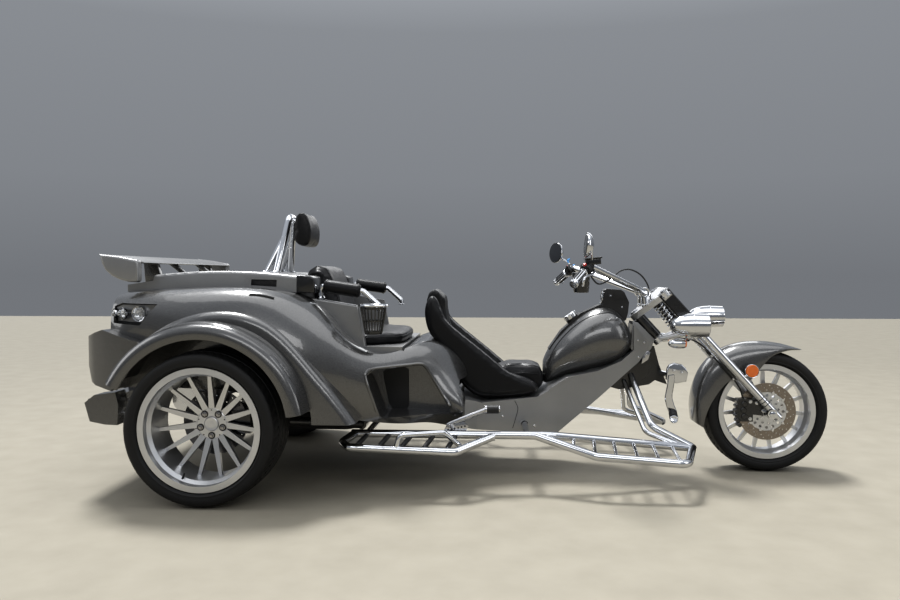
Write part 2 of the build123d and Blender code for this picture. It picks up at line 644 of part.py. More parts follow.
TAIL_PIPE_R = 18.0
TAIL_PIPE_X = -1768.0
TAIL_PIPE_Z = 461.0
with BuildPart() as exhaust:
    rod((-1440, -330, 388), (-1440, 330, 388), 72)
    for side in (-1, 1):
        tube([(-1440, side * 250, 388), (-1540, side * 250, 388), (-1600, side * 250, TAIL_PIPE_Z),
              (TAIL_PIPE_X, side * 250, TAIL_PIPE_Z)], TAIL_PIPE_R, 40)
        with BuildSketch(Plane(origin=(TAIL_PIPE_X, side * 250, TAIL_PIPE_Z),
                               z_dir=(1, 0, 0))) as bore:
            Circle(TAIL_PIPE_R - 2.5)
        extrude(bore.sketch, amount=90, mode=Mode.SUBTRACT)
save(exhaust.part, "exhaust")

# Rear axle: trailing arms, cross tube, hub carriers with their stubs, and brake calipers
with BuildPart() as rear_axle:
    carrier_y = REAR_Y - rear_half + 4
    rod((REAR_AXLE_X, -carrier_y, REAR_TYRE_R), (REAR_AXLE_X, carrier_y, REAR_TYRE_R), 32)
    for side in (-1, 1):
        hub_y = REAR_Y + rear_hub_back - DISC_THICK - 8
        stub_y = REAR_Y + REAR_HUB_FACE - 12
        rod((REAR_AXLE_X, side * carrier_y, REAR_TYRE_R), (REAR_AXLE_X, side * hub_y, REAR_TYRE_R),
            58)
        rod((REAR_AXLE_X, side * (hub_y - 10), REAR_TYRE_R),
            (REAR_AXLE_X, side * stub_y, REAR_TYRE_R), REAR_STUB_R)
        tube([(-560, side * 298, 268), (-800, side * 380, 290),
              (REAR_AXLE_X, side * (carrier_y - 30), REAR_TYRE_R)], 24, 60)
        block((REAR_AXLE_X + 80, min(side * (hub_y - 30), side * (hub_y + 26)), 290),
              (REAR_AXLE_X + 165, max(side * (hub_y - 30), side * (hub_y + 26)), 390))
        block((REAR_AXLE_X + 40, min(side * (hub_y - 30), side * (hub_y - 4)), 310),
              (REAR_AXLE_X + 90, max(side * (hub_y - 30), side * (hub_y - 4)), 370))
        with BuildSketch(Plane(origin=(REAR_AXLE_X, side * (hub_y + 4), REAR_TYRE_R),
                               z_dir=(0, side, 0))) as slot:
            Circle(REAR_DISC_R + 4)
            Circle(REAR_STUB_R + 12, mode=Mode.SUBTRACT)
        extrude(slot.sketch, amount=DISC_THICK + 8, mode=Mode.SUBTRACT)
    add(main_frame.part, mode=Mode.SUBTRACT)
save(rear_axle.part, "rear_axle")

# Footboards: a rail and a bent outer bar each side, rungs between them, and the front struts
footboards = []
for name, side in (("right", -1), ("left", 1)):
    with BuildPart() as footboard:
        inner_rail = [(-572, side * 480, RAIL_Z), (371, side * 480, RAIL_Z), (1052, side * 330, 176)]
        rear_bar = [(-560, side * 490, RAIL_Z), (-600, side * 600, 240), (-560, side * 640, 226),
                    (-80, side * 640, 210), (90, side * 490, 252)]
        front_bar = [(290, side * 480, RAIL_Z), (560, side * 600, 190), (960, side * 620, 166),
                     (1052, side * 330, 176)]
        tube(inner_rail, RAIL_R, 120)
        tube(rear_bar, RAIL_R, 30)
        tube(front_bar, RAIL_R, 60)
        for i in range(5):
            x = -500 + 105 * i
            rod((x, side * 480, RAIL_Z), (x - 40, side * 640, 218), RUNG_R)
        for i in range(6):
            x = 470 + 95 * i
            t = (x - 371) / (1052 - 371)
            s = min((x - 10 - 290) / 270, 1)
            outer_z = 256 - 66 * s if s < 1 else 190 - 24 * (x - 560) / 400
            rod((x, side * (480 - 150 * t), 256 - 80 * t),
                (x - 10, side * (480 + 120 * s), outer_z), RUNG_R)
        tube([(-345, side * 640, 222), (-330, side * 640, 285), (-130, side * 600, 292),
              (-60, side * 560, 225)], 12, 30)
        for x in CROSS_TUBE_X:
            rod((x, side * 104, RAIL_Z), (x, side * 480, RAIL_Z), CROSS_TUBE_R)
        tube([(806, side * 34, 486), (862, side * 300, 272), (1048, side * 330, 182)], 17, 60)
        tube([(770, side * 34, 460), (830, side * 318, 246), (1000, side * 345, 186)], 12, 50)
        add(main_frame.part, mode=Mode.SUBTRACT)
        add(spine_cover.part, mode=Mode.SUBTRACT)
    save(footboard.part, f"footboard_{name}")
    footboards.append(footboard.part)

# Brake pedal, its plate and peg, and the hand lever on its quadrant
with BuildPart() as levers:
    side_plate([(965, 452), (985, 560), (1060, 575), (1095, 430), (1040, 440)], -158, -150)
    rod((960, -30, 500), (1000, -158, 500), 14)
    side_plate([(1000, 560), (1035, 560), (1040, 350), (1005, 350)], -172, -159)
    rod((1022, -165, 340), (1000, -290, 318), 20)
    side_plate([(-120, 262), (-20, 262), (10, 330), (-60, 345)], -462, -454)
    rod((-95, -466, 268), (150, -462, 372), 13)
    rod((-70, -482, 262), (-70, -440, 262), 12)
    add(footboards[0], mode=Mode.SUBTRACT)
    add(main_frame.part, mode=Mode.SUBTRACT)
save(levers.part, "levers")

# Fork: legs with their axle pin and fender stays
with BuildPart() as fork_legs:
    for side in (-1, 1):
        y = side * LEG_Y
        rod(in_fork(LEG_AHEAD, y, LEG_BOTTOM), in_fork(LEG_AHEAD, y, LEG_TOP), LEG_R)
        with BuildSketch(Plane.XZ.offset(-y - 24)) as lug:
            with Locations([(FRONT_AXLE_X, FRONT_TYRE_R)]):
                Circle(26)
        extrude(lug.sketch, amount=48)
    rod((FRONT_AXLE_X, -LEG_Y - 30, FRONT_TYRE_R), (FRONT_AXLE_X, LEG_Y + 30, FRONT_TYRE_R),
        FRONT_PIN_R)
    for side in (-1, 1):
        rod((FRONT_AXLE_X, side * (FRONT_HUB_HALF + DISC_THICK + 4), FRONT_TYRE_R),
            (FRONT_AXLE_X, side * 100, FRONT_TYRE_R), 18)
save(fork_legs.part, "fork_legs")

# Yokes: stem, top plate and the sloping lower arms
UPPER_Z = HEAD_TOP + YOKE_GAP
LOWER_Z = HEAD_BOTTOM - YOKE_GAP
with BuildPart() as fork_yokes:
    rod(in_fork(0, 0, LOWER_Z - YOKE_THICK), in_fork(0, 0, UPPER_Z + YOKE_THICK), STEM_R)
    with BuildSketch(FORK.offset(UPPER_Z)) as plate:
        with Locations([(0, 0)]):
            Circle(YOKE_R)
        with Locations([(LEG_AHEAD, -LEG_Y), (LEG_AHEAD, LEG_Y)]):
            Circle(LEG_R + 10)
        make_hull()
    extrude(plate.sketch, amount=YOKE_THICK)
    with BuildSketch(FORK.offset(LOWER_Z - YOKE_THICK)) as boss:
        Circle(YOKE_R)
    extrude(boss.sketch, amount=YOKE_THICK)
    for side in (-1, 1):
        rod(in_fork(4, side * 16, LOWER_Z - 16), in_fork(LEG_AHEAD, side * LEG_Y, 548), 13)
        rod(in_fork(LEG_AHEAD, side * LEG_Y, 525), in_fork(LEG_AHEAD, side * LEG_Y, 572), 30)
    rod(in_fork(LEG_AHEAD, -LEG_Y, 548), in_fork(LEG_AHEAD, LEG_Y, 548), 13)
    add(fork_legs.part, mode=Mode.SUBTRACT)
save(fork_yokes.part, "fork_yokes")

with BuildPart() as fork_spring:
    top = in_fork(118, 0, UPPER_Z - 0.5)
    low = in_fork(100, 0, 585)
    rod(low, top, 15)
    along = (top - low).normalized()
    for i in range(6):
        middle = low + along * (50 + 22 * i)
        with BuildSketch(Plane(origin=middle, z_dir=along)) as turn:
            Circle(26)
        extrude(turn.sketch, amount=9)
    add(fork_yokes.part, mode=Mode.SUBTRACT)
save(fork_spring.part, "fork_spring")

# Handlebar: risers on the top yoke and one long bar pulled back to the grips
BAR_BEND = (548, 385, 1052)
GRIP_TIP = (476, 452, 930)
BAR_FOOT = (868, 95, 918)
with BuildPart() as handlebar:
    tube([(BAR_BEND[0], -BAR_BEND[1], BAR_BEND[2]), (BAR_FOOT[0], -BAR_FOOT[1], BAR_FOOT[2]),
          (BAR_FOOT[0], BAR_FOOT[1], BAR_FOOT[2]), BAR_BEND], BAR_R, 60)
    for side in (-1, 1):
        rod(BAR_BEND[:1] + (side * BAR_BEND[1],) + BAR_BEND[2:],
            GRIP_TIP[:1] + (side * GRIP_TIP[1],) + GRIP_TIP[2:], 11)
        rod(in_fork(62, side * 60, UPPER_Z + YOKE_THICK - 6), (868, side * 60, 918), 17)
    add(fork_yokes.part, mode=Mode.SUBTRACT)
save(handlebar.part, "handlebar")

with BuildPart() as hand_controls:
    for side in (-1, 1):
        bend = Vector(BAR_BEND[0], side * BAR_BEND[1], BAR_BEND[2])
        tip = Vector(GRIP_TIP[0], side * GRIP_TIP[1], GRIP_TIP[2])
        run = tip - bend
        rod(bend + run * 0.34, bend + run * 1.0, 18)
        rod(bend + run * 0.1, bend + run * 0.33, 27)
    rod((512, -470, 860), (520, -470, 1000), 40)
    add(handlebar.part, mode=Mode.SUBTRACT)
save(hand_controls.part, "hand_controls")

with BuildPart() as mirrors:
    for side in (-1, 1):
        rod((536, side * 392, 1040), (560, side * 440, 1120), 5)
        face = Plane(origin=(548, side * 445, 1140), x_dir=(0, 1, 0), z_dir=(1, 0, -0.1))
        for back, wide, high in ((0, 62, 40), (18, 56, 36), (38, 20, 14)):
            with BuildSketch(face.offset(back)):
                Ellipse(wide, high)
        loft()
    add(handlebar.part, mode=Mode.SUBTRACT)
    add(hand_controls.part, mode=Mode.SUBTRACT)
save(mirrors.part, "mirrors")

# Lamps on the fork: two bullet headlamps, two turn signals and the round reflectors
LAMP_LENGTH = 168.0
LAMP_R = 53.0
# side, x, y and z of each headlamp's tail end
HEADLAMPS = [(-1, 985, 200, 762), (1, 1130, 200, 786)]
with BuildPart() as front_lamps:
    for side, x, y, z in HEADLAMPS:
        with BuildSketch(Plane(origin=(x, side * y, z), x_dir=(1, 0, 0),
                               z_dir=(0, -1, 0))) as shell:
            with BuildLine():
                Polyline((0, 12), (0, 0), (LAMP_LENGTH, 0), (LAMP_LENGTH, LAMP_R - 2), (90, LAMP_R))
                ThreePointArc((90, LAMP_R), (32, LAMP_R * 0.72), (0, 12))
            make_face()
        revolve(shell.sketch, axis=Axis((x, side * y, z), (1, 0, 0)))
        rod((x + 90, side * y, z - 30), in_fork(LEG_AHEAD, side * (LEG_Y + 25), 560), 9)
    for side in (-1, 1):
        rod((960, side * 190, 666), (1045, side * 190, 666), 22)
        rod((1020, side * 185, 650), in_fork(LEG_AHEAD, side * (LEG_Y + 25), 560), 7)
        rod((1390, side * 128, 526), (1390, side * 142, 526), 32)
        rod(in_fork(LEG_AHEAD, side * (LEG_Y + 14), 227), (1390, side * 134, 526), 6)
    add(fork_legs.part, mode=Mode.SUBTRACT)
    add(fork_yokes.part, mode=Mode.SUBTRACT)
save(front_lamps.part, "front_lamps")

# Front fender: a deep hooded arch, a little off centre so that its tail stands away
FENDER_X = 1478.0
FENDER_Z = 318.0
FENDER_START = 64.0
FENDER_END = 196.0
with BuildPart() as front_fender:
    middle = (FENDER_X, 0, FENDER_Z)
    with BuildSketch(Plane(origin=middle, x_dir=(0, -1, 0), z_dir=(-1, 0, 0))):
        with BuildLine():
            Polyline((-98, 288), (-98, 358))
            ThreePointArc((-98, 358), (0, 384), (98, 358))
            Polyline((98, 358), (98, 288), (94, 288), (94, 354))
            ThreePointArc((94, 354), (0, 379), (-94, 354))
            Polyline((-94, 354), (-94, 288), (-98, 288))
        make_face()
    spin = Axis(middle, (0, -1, 0))
    revolve(axis=spin, revolution_arc=FENDER_END - FENDER_START)
save(front_fender.part.rotate(spin, FENDER_START - 90), "front_fender")

with BuildPart() as front_caliper:
    block((1335, -98, 262), (1412, -50, 378))
    with BuildSketch(Plane(origin=(FRONT_AXLE_X, -FRONT_HUB_HALF + 3, FRONT_TYRE_R),
                           z_dir=(0, -1, 0))) as slot:
        Circle(FRONT_DISC_R + 4)
    extrude(slot.sketch, amount=DISC_THICK + 6, mode=Mode.SUBTRACT)
    side_plate([(1400, 300), (1400, 360), (1440, 380), (1500, 330), (1480, 290)], -99, -80)
    with BuildSketch(Plane(origin=(FRONT_AXLE_X, -60, FRONT_TYRE_R), z_dir=(0, -1, 0))) as hole:
        Circle(30)
    extrude(hole.sketch, amount=50, mode=Mode.SUBTRACT)
    add(fork_legs.part, mode=Mode.SUBTRACT)
save(front_caliper.part, "front_caliper")
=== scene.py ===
from math import cos, pi, radians, sin

import bmesh
import bpy
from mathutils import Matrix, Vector


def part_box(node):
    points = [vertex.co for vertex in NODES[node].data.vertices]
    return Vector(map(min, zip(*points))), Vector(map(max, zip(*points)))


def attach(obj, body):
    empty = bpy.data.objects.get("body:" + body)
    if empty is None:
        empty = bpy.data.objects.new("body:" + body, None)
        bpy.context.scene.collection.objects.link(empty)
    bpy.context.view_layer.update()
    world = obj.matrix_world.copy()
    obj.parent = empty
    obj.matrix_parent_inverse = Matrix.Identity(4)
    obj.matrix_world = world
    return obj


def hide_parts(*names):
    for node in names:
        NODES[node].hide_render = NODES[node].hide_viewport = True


# A motor trike at rest on a pale floor. Metres, +X ahead, +Y to the rider's left, +Z up.

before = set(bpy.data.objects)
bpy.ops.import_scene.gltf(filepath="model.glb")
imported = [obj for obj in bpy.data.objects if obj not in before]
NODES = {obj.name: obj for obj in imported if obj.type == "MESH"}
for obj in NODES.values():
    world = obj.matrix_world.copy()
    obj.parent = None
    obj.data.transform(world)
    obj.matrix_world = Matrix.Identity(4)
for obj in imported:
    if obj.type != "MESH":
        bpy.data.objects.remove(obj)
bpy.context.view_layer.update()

FRONT_AXLE = Vector((1.49, 0, 0.31))
REAR_AXLE = Vector((-1.17, 0, 0.34))
HALF_TRACK = 0.7325
SIDES = (("right", -1), ("left", 1))
RIGHT = (0, -1, 0)


def new_object(name, data):
    """Add an object to the scene."""
    obj = bpy.data.objects.new(name, data)
    bpy.context.scene.collection.objects.link(obj)
    return obj


# Camera and light

SENSOR_WIDTH = 36
# How blue the surroundings are: what a grey is multiplied by
COOL = (0.95, 1, 1.08)


def look(place, downward, heading, lens):
    """Add the camera, turned by two angles in degrees, and make it the scene's own."""
    camera = new_object("camera", bpy.data.cameras.new("camera"))
    camera.data.sensor_width = SENSOR_WIDTH
    camera.data.lens = lens
    camera.location = place
    camera.rotation_euler = (radians(90 - downward), 0, radians(heading))
    bpy.context.scene.camera = camera


def soft_light(name, place, aim, size, power):
    """Add a large rectangular light that faces a point."""
    lamp = new_object(name, bpy.data.lights.new(name, "AREA"))
    lamp.data.shape = "RECTANGLE"
    lamp.data.size, lamp.data.size_y = size
    lamp.data.energy = power
    lamp.location = place
    lamp.rotation_euler = (Vector(aim) - Vector(place)).to_track_quat("-Z", "Y").to_euler()


def sun(strength, spread, tilt, heading):
    """Add one distant light whose spread softens the shadows."""
    lamp = new_object("sun", bpy.data.lights.new("sun", "SUN"))
    lamp.data.energy = strength
    lamp.data.angle = radians(spread)
    lamp.rotation_euler = (radians(tilt), 0, radians(heading))


def surroundings(stops, strength):
    """Light the scene from around it: height above the horizon, from 0 to 1, and its grey."""
    world = bpy.data.worlds.new("studio")
    bpy.context.scene.world = world
    world.use_nodes = True
    tree = world.node_tree
    toward = tree.nodes.new("ShaderNodeTexCoord")
    split = tree.nodes.new("ShaderNodeSeparateXYZ")
    ramp = tree.nodes.new("ShaderNodeValToRGB")
    while len(ramp.color_ramp.elements) < len(stops):
        ramp.color_ramp.elements.new(1)
    for element, (height, grey) in zip(ramp.color_ramp.elements, stops):
        element.position = height
        element.color = (*(grey * part for part in COOL), 1)
    tree.links.new(toward.outputs["Generated"], split.inputs[0])
    tree.links.new(split.outputs["Z"], ramp.inputs[0])
    tree.links.new(ramp.outputs[0], tree.nodes["Background"].inputs["Color"])
    tree.nodes["Background"].inputs["Strength"].default_value = strength


look((0.105, -4.03, 1.008), 1.88, 3.46, 30.4)
soft_light("overhead", (0, -0.5, 3.4), (0, 0, 0.4), (5.5, 2.2), 45)
soft_light("camera_side", (0.6, -5.0, 3.4), (0, 0, 0.5), (5.0, 1.2), 48)
soft_light("tail_side", (-4.2, -1.4, 2.0), (-0.8, 0, 0.6), (1.6, 2.2), 22)
soft_light("nose_side", (4.2, -1.6, 2.0), (0.8, 0, 0.5), (1.6, 2.2), 18)
soft_light("behind", (0.4, 4.2, 2.8), (0, 0, 0.6), (5.0, 1.6), 45)
sun(3.4, 14, 24, -150)
surroundings([(0.0, 0.2), (0.12, 0.25), (0.3, 0.28), (0.46, 0.5), (0.75, 0.7), (1.0, 0.6)], 0.9)
view = bpy.context.scene.view_settings
view.view_transform = "Standard"
view.look = "Medium High Contrast"


# Materials: expressions on sockets

class Value:
    """One socket of a finish. Arithmetic on it adds Math nodes."""

    def __init__(self, finish, socket):
        self.finish = finish
        self.socket = socket

    def maths(self, operation, *terms):
        """The result of a Math node that takes the terms in turn."""
        return self.finish.node("Math", {"operation": operation}, dict(enumerate(terms)))

    def __add__(self, other):
        return self.maths("ADD", self, other)

    def __sub__(self, other):
        return self.maths("SUBTRACT", self, other)

    def __rsub__(self, other):
        return self.maths("SUBTRACT", other, self)

    def __mul__(self, other):
        return self.maths("MULTIPLY", self, other)

    def __and__(self, other):
        return self.maths("MINIMUM", self, other)

    __radd__ = __add__
    __rmul__ = __mul__
    __rand__ = __and__

    def wave(self, turns):
        """A sine of this value, from 0 to 1, with so many turns to a unit."""
        return self.maths("SINE", self * (turns * 2 * pi)) * 0.5 + 0.5

    def band(self, low, high):
        """0 below low, 1 above high and straight between them."""
        return self.finish.node("MapRange", {}, {0: self, 1: low, 2: high, 3: 0.0, 4: 1.0})


class Finish:
    """A surface finish: one Principled shader and the nodes that feed it."""

    def __init__(self, name, colour, rough, metal=0.0, **constants):
        self.material = bpy.data.materials.new(name)
        self.material.use_nodes = True
        self.tree = self.material.node_tree
        self.shader = self.tree.nodes["Principled BSDF"]
        self.put("Base Color", (*colour, 1))
        self.put("Roughness", rough)
        self.put("Metallic", metal)
        for socket, value in constants.items():
            self.put(socket.replace("_", " "), value)
        self.material.diffuse_color = (*colour, 1)

    def node(self, kind, settings, sources, output=0):
        """Add a node with its settings and what its sockets take, and return an output."""
        node = self.tree.nodes.new("ShaderNode" + kind)
        for name, setting in settings.items():
            setattr(node, name, setting)
        for key, source in sources.items():
            self.feed(node.inputs[key], source)
        return Value(self, node.outputs[output])

    def feed(self, socket, source):
        """Link a value to a socket, or set the socket to a number or a colour."""
        if isinstance(source, Value):
            self.tree.links.new(source.socket, socket)
        else:
            socket.default_value = source

    def put(self, name, source):
        """Feed one socket of the shader."""
        self.feed(self.shader.inputs[name], source)

    def place(self):
        """The point on the object, in metres."""
        return self.node("TexCoord", {}, {}, "Object")

    def axis(self, letter):
        """One coordinate of the point on the object."""
        return self.node("SeparateXYZ", {}, {0: self.place()}, letter)

    def radius(self, centre):
        """Distance from an axle that runs across the object."""
        ahead = self.axis("X") - centre.x
        up = self.axis("Z") - centre.z
        return ahead.maths("SQRT", ahead * ahead + up * up)

    def noise(self, scale, detail=2.0, stretch=(1, 1, 1)):
        """Noise of so many grains to a metre."""
        spot = self.node("Mapping", {}, {"Vector": self.place(), "Scale": stretch})
        return self.node("TexNoise", {}, {"Vector": spot, "Scale": scale, "Detail": detail})

    def cells(self, scale, output="Distance"):
        """Cells of so many to a metre."""
        return self.node("TexVoronoi", {}, {"Vector": self.place(), "Scale": scale}, output)

    def tint(self, mask, low, high):
        """A colour between two, by a mask."""
        return self.node("Mix", {"data_type": "RGBA"}, {0: mask, 6: (*low, 1), 7: (*high, 1)}, 2)

    def bump(self, height, depth, strength):
        """Raise the surface by a height from 0 to 1 times a depth in metres."""
        self.put("Normal", self.node("Bump", {}, {"Height": height, "Distance": depth,
                                                  "Strength": strength}))


def shade(colour, factor, lift=0):
    """A colour made darker or lighter."""
    return tuple(c * factor + lift for c in colour)


def painted():
    """Metallic grey paint under clear lacquer."""
    f = Finish("graphite_paint", (0.17, 0.17, 0.17), 0.34, 0.75, Coat_Weight=1.0,
               Coat_Roughness=0.03, Coat_IOR=1.5)
    flake = f.cells(1400, output="Color")
    glint = f.node("SeparateColor", {}, {0: flake})
    cloud = f.noise(3.0)
    f.put("Base Color", f.tint(glint * 0.55 + cloud * 0.3, (0.066, 0.067, 0.07),
                               (0.165, 0.162, 0.155)))
    f.put("Roughness", glint * 0.14 + 0.2)
    return f


def satin_painted():
    """Lighter satin grey of the deck, side panels and spine."""
    f = Finish("satin_silver_paint", (0.40, 0.40, 0.395), 0.42, 0.55, Coat_Weight=0.4,
               Coat_Roughness=0.18)
    grain = f.noise(650, 3)
    f.put("Base Color", f.tint(f.noise(5, 3) * 0.6 + grain * 0.4, (0.19, 0.191, 0.193),
                               (0.31, 0.31, 0.306)))
    f.put("Roughness", grain * 0.12 + 0.3)
    f.bump(grain, 0.00005, 0.3)
    return f


def moulded(name, colour, rough):
    """Grained black moulding."""
    f = Finish(name, colour, rough)
    grain = f.cells(900)
    dust = f.noise(14, 4)
    f.put("Base Color", f.tint(dust, colour, shade(colour, 1.6, 0.004)))
    f.put("Roughness", dust * 0.15 + (rough - 0.06))
    f.bump(grain, 0.00015, 0.5)
    return f


def lacquered(name, colour, rough):
    """Smooth painted steel with faint orange peel."""
    f = Finish(name, colour, rough, Coat_Weight=0.6, Coat_Roughness=0.12)
    peel = f.noise(240)
    f.put("Roughness", f.noise(9, 3) * 0.12 + (rough - 0.05))
    f.bump(peel, 0.00012, 0.35)
    return f


def plated(name, colour, rough):
    """Bright plating with faint wipe marks."""
    f = Finish(name, colour, rough, 1.0)
    wipe = f.noise(22, 4, (1, 1, 3))
    f.put("Base Color", f.tint(wipe, shade(colour, 0.93), colour))
    f.put("Roughness", wipe * 0.07 + (rough - 0.03))
    return f


def machined(name, colour, rough):
    """Satin alloy with a fine cast grain under lacquer."""
    f = Finish(name, colour, rough, 0.9, Coat_Weight=0.3, Coat_Roughness=0.1)
    grain = f.noise(900)
    f.put("Base Color", f.tint(f.noise(16, 3), shade(colour, 0.86), colour))
    f.put("Roughness", grain * 0.14 + (rough - 0.07))
    f.bump(grain, 0.00006, 0.4)
    return f


def turned(name, centre, dark):
    """Brake disc steel with turning marks round its axle."""
    f = Finish(name, dark, 0.3, 1.0)
    rings = f.radius(centre).wave(420)
    wear = f.noise(60, 3)
    f.put("Base Color", f.tint(rings * 0.5 + wear * 0.5, dark, shade(dark, 1.8)))
    f.put("Roughness", rings * 0.15 + 0.22)
    f.bump(rings, 0.0001, 0.5)
    return f


def tyre_rubber(name, centre, seat, crown):
    """Black rubber whose side wall has fine moulded rings."""
    f = Finish(name, (0.02, 0.02, 0.021), 0.7, Specular_IOR_Level=0.35)
    r = f.radius(centre)
    wall = r.band(seat, seat + 0.004) & (1 - r.band(crown - 0.012, crown - 0.006))
    rings = r.wave(230) * wall
    dust = f.noise(35, 5)
    scuff = r.band(crown - 0.008, crown)
    f.put("Base Color", f.tint(dust * 0.5 + scuff * 0.5, (0.006, 0.006, 0.0065),
                               (0.022, 0.0215, 0.0205)))
    f.put("Roughness", dust * 0.2 + 0.48)
    f.bump(rings * 0.7 + f.noise(700) * 0.3, 0.0006, 0.6)
    return f


def hide():
    """Black grained leather."""
    dark = (0.0045, 0.0045, 0.005)
    f = Finish("black_leather", dark, 0.42, Specular_IOR_Level=0.24)
    pores = f.cells(420)
    folds = f.noise(26, 4)
    f.put("Base Color", f.tint(pores * 0.7 + folds * 0.3, dark, shade(dark, 2, 0.004)))
    f.put("Roughness", folds * 0.14 + 0.3)
    f.bump(pores * 0.6 + folds * 0.6, 0.0007, 0.5)
    return f


def cast():
    """Dark cast metal with a coarse skin."""
    f = Finish("dark_casting", (0.06, 0.06, 0.065), 0.6, 0.5)
    skin = f.noise(320, 4)
    f.put("Base Color", f.tint(f.noise(20, 4), (0.014, 0.014, 0.015), (0.045, 0.044, 0.042)))
    f.put("Roughness", skin * 0.2 + 0.5)
    f.bump(skin, 0.0004, 0.6)
    return f


def lens(name, colour, crossed=False):
    """A moulded lens, plain or with a crossed relief."""
    f = Finish(name, colour, 0.06, Transmission_Weight=0.25 if crossed else 0.92, IOR=1.46,
               Coat_Weight=1.0, Coat_Roughness=0.02)
    f.put("Base Color", f.tint(f.noise(60), shade(colour, 0.85), colour))
    if crossed:
        f.bump(f.axis("X").wave(210) * f.axis("Z").wave(210), 0.0012, 0.8)
    return f


PAINT = painted()
SATIN = satin_painted()
BLACK = moulded("black_moulding", (0.007, 0.007, 0.0075), 0.45)
GLOSS_BLACK = lacquered("frame_black", (0.006, 0.006, 0.0065), 0.26)
CHROME = plated("bright_chrome", (0.62, 0.63, 0.65), 0.07)
POLISHED = plated("polished_alloy", (0.5, 0.5, 0.51), 0.16)
ALLOY = machined("wheel_silver", (0.66, 0.665, 0.675), 0.33)
LEATHER = hide()
GRIP = moulded("grip_rubber", (0.008, 0.008, 0.008), 0.55)
CAST = cast()
DARK_CHROME = plated("nut_plating", (0.42, 0.41, 0.4), 0.2)
MIRROR = plated("mirror_face", (0.16, 0.165, 0.175), 0.04)
RED = moulded("red_button", (0.42, 0.02, 0.015), 0.4)
BLUE = moulded("blue_cover", (0.03, 0.22, 0.5), 0.4)
PALE = moulded("dial_white", (0.7, 0.7, 0.7), 0.5)
AMBER = lens("amber_lens", (0.95, 0.2, 0.005), True)
GLASS = lens("clear_lens", (0.96, 0.97, 0.98))
DISC_FRONT = turned("front_disc_steel", FRONT_AXLE, (0.2, 0.175, 0.15))
DISC_REAR = turned("rear_disc_steel", REAR_AXLE, (0.085, 0.085, 0.09))
TYRE_FRONT = tyre_rubber("front_tyre_rubber", FRONT_AXLE, 0.243, 0.31)
TYRE_REAR = tyre_rubber("rear_tyre_rubber", REAR_AXLE, 0.271, 0.34)

FINISHES = [
    (PAINT, "rear_body flares tail_lamps bumpers tank front_fender"),
    (SATIN, "rear_deck boot_lid spoiler passenger_shell spine_cover"),
    (LEATHER, "passenger_bench passenger_backrest headrest_pad armrest_pads driver_seat"),
    (CHROME, "headrest_bar armrests exhaust footboard_right footboard_left fork_legs handlebar "
             "mirrors front_lamps"),
    (GLOSS_BLACK, "cup_holder main_frame rear_axle fork_spring front_caliper"),
    (ALLOY, "fork_yokes front_rim rear_rim_right rear_rim_left"),
    (BLACK, "tank_console"), (CAST, "engine_block"), (POLISHED, "levers"),
    (GRIP, "hand_controls"), (TYRE_FRONT, "front_tyre"), (DISC_FRONT, "front_disc"),
    (TYRE_REAR, "rear_tyre_right rear_tyre_left"), (DISC_REAR, "rear_disc_right rear_disc_left"),
]
for finish, names in FINISHES:
    for name in names.split():
        NODES[name].data.materials.clear()
        NODES[name].data.materials.append(finish.material)


# Shapes

# Cosine above which a direction counts as parallel to an axis
PARALLEL = 0.99
# Longest start of an arc, as a share of the shorter run beside it
LONGEST_ARC = 0.45
OUTER_STEPS, INNER_STEPS, HOLE_STEPS = 96, 64, 10
# Degrees between faces from which an edge is sharp
SHARP = 32


def directions(axis, zero=(1, 0, 0)):
    """An axis, and the two directions square to it, the first one nearest to zero."""
    axis = Vector(axis).normalized()
    zero = Vector(zero) if abs(axis.dot(Vector(zero))) < PARALLEL else Vector((0, 0, 1))
    first = (zero - axis * zero.dot(axis)).normalized()
    return axis, first, axis.cross(first)


def spokes(axis, angles, zero=(1, 0, 0)):
    """Directions square to an axis, at angles in degrees from the one nearest to zero."""
    _, first, second = directions(axis, zero)
    return [first * cos(radians(a)) + second * sin(radians(a)) for a in angles]


def flat_ring(half, inner, outer):
    """The square section of a ring for Form.hoop."""
    return [(-half, inner), (half, inner), (half, outer), (-half, outer)]


def inset(outline, amount):
    """An outline drawn inwards by an amount."""
    area = sum(a[0] * b[1] - b[0] * a[1] for a, b in zip(outline, outline[1:] + outline[:1]))
    turn = 1 if area > 0 else -1
    drawn = []
    for before, point, after in zip(outline[-1:] + outline, outline, outline[1:] + outline[:1]):
        one = (Vector(point) - Vector(before)).normalized()
        two = (Vector(after) - Vector(point)).normalized()
        inward = Vector((-one.y - two.y, one.x + two.x)) * turn
        reach = amount / max(0.5, inward.length / 2)
        drawn.append(tuple(Vector(point) + inward.normalized() * reach))
    return drawn


def curved(points, steps=6, closed=False):
    """Points along a smooth curve through the given ones."""
    points = [Vector(p) for p in points]
    if closed:
        ends = [points[-1]] + points + points[:2]
    else:
        ends = [points[0] * 2 - points[1]] + points + [points[-1] * 2 - points[-2]]
    path = []
    for a, b, c, d in zip(ends, ends[1:], ends[2:], ends[3:]):
        for i in range(steps):
            t = i / steps
            path.append(((b * 2) + (c - a) * t + (a * 2 - b * 5 + c * 4 - d) * t * t
                         + (b * 3 - a - c * 3 + d) * t * t * t) / 2)
    return path if closed else path + [points[-1]]


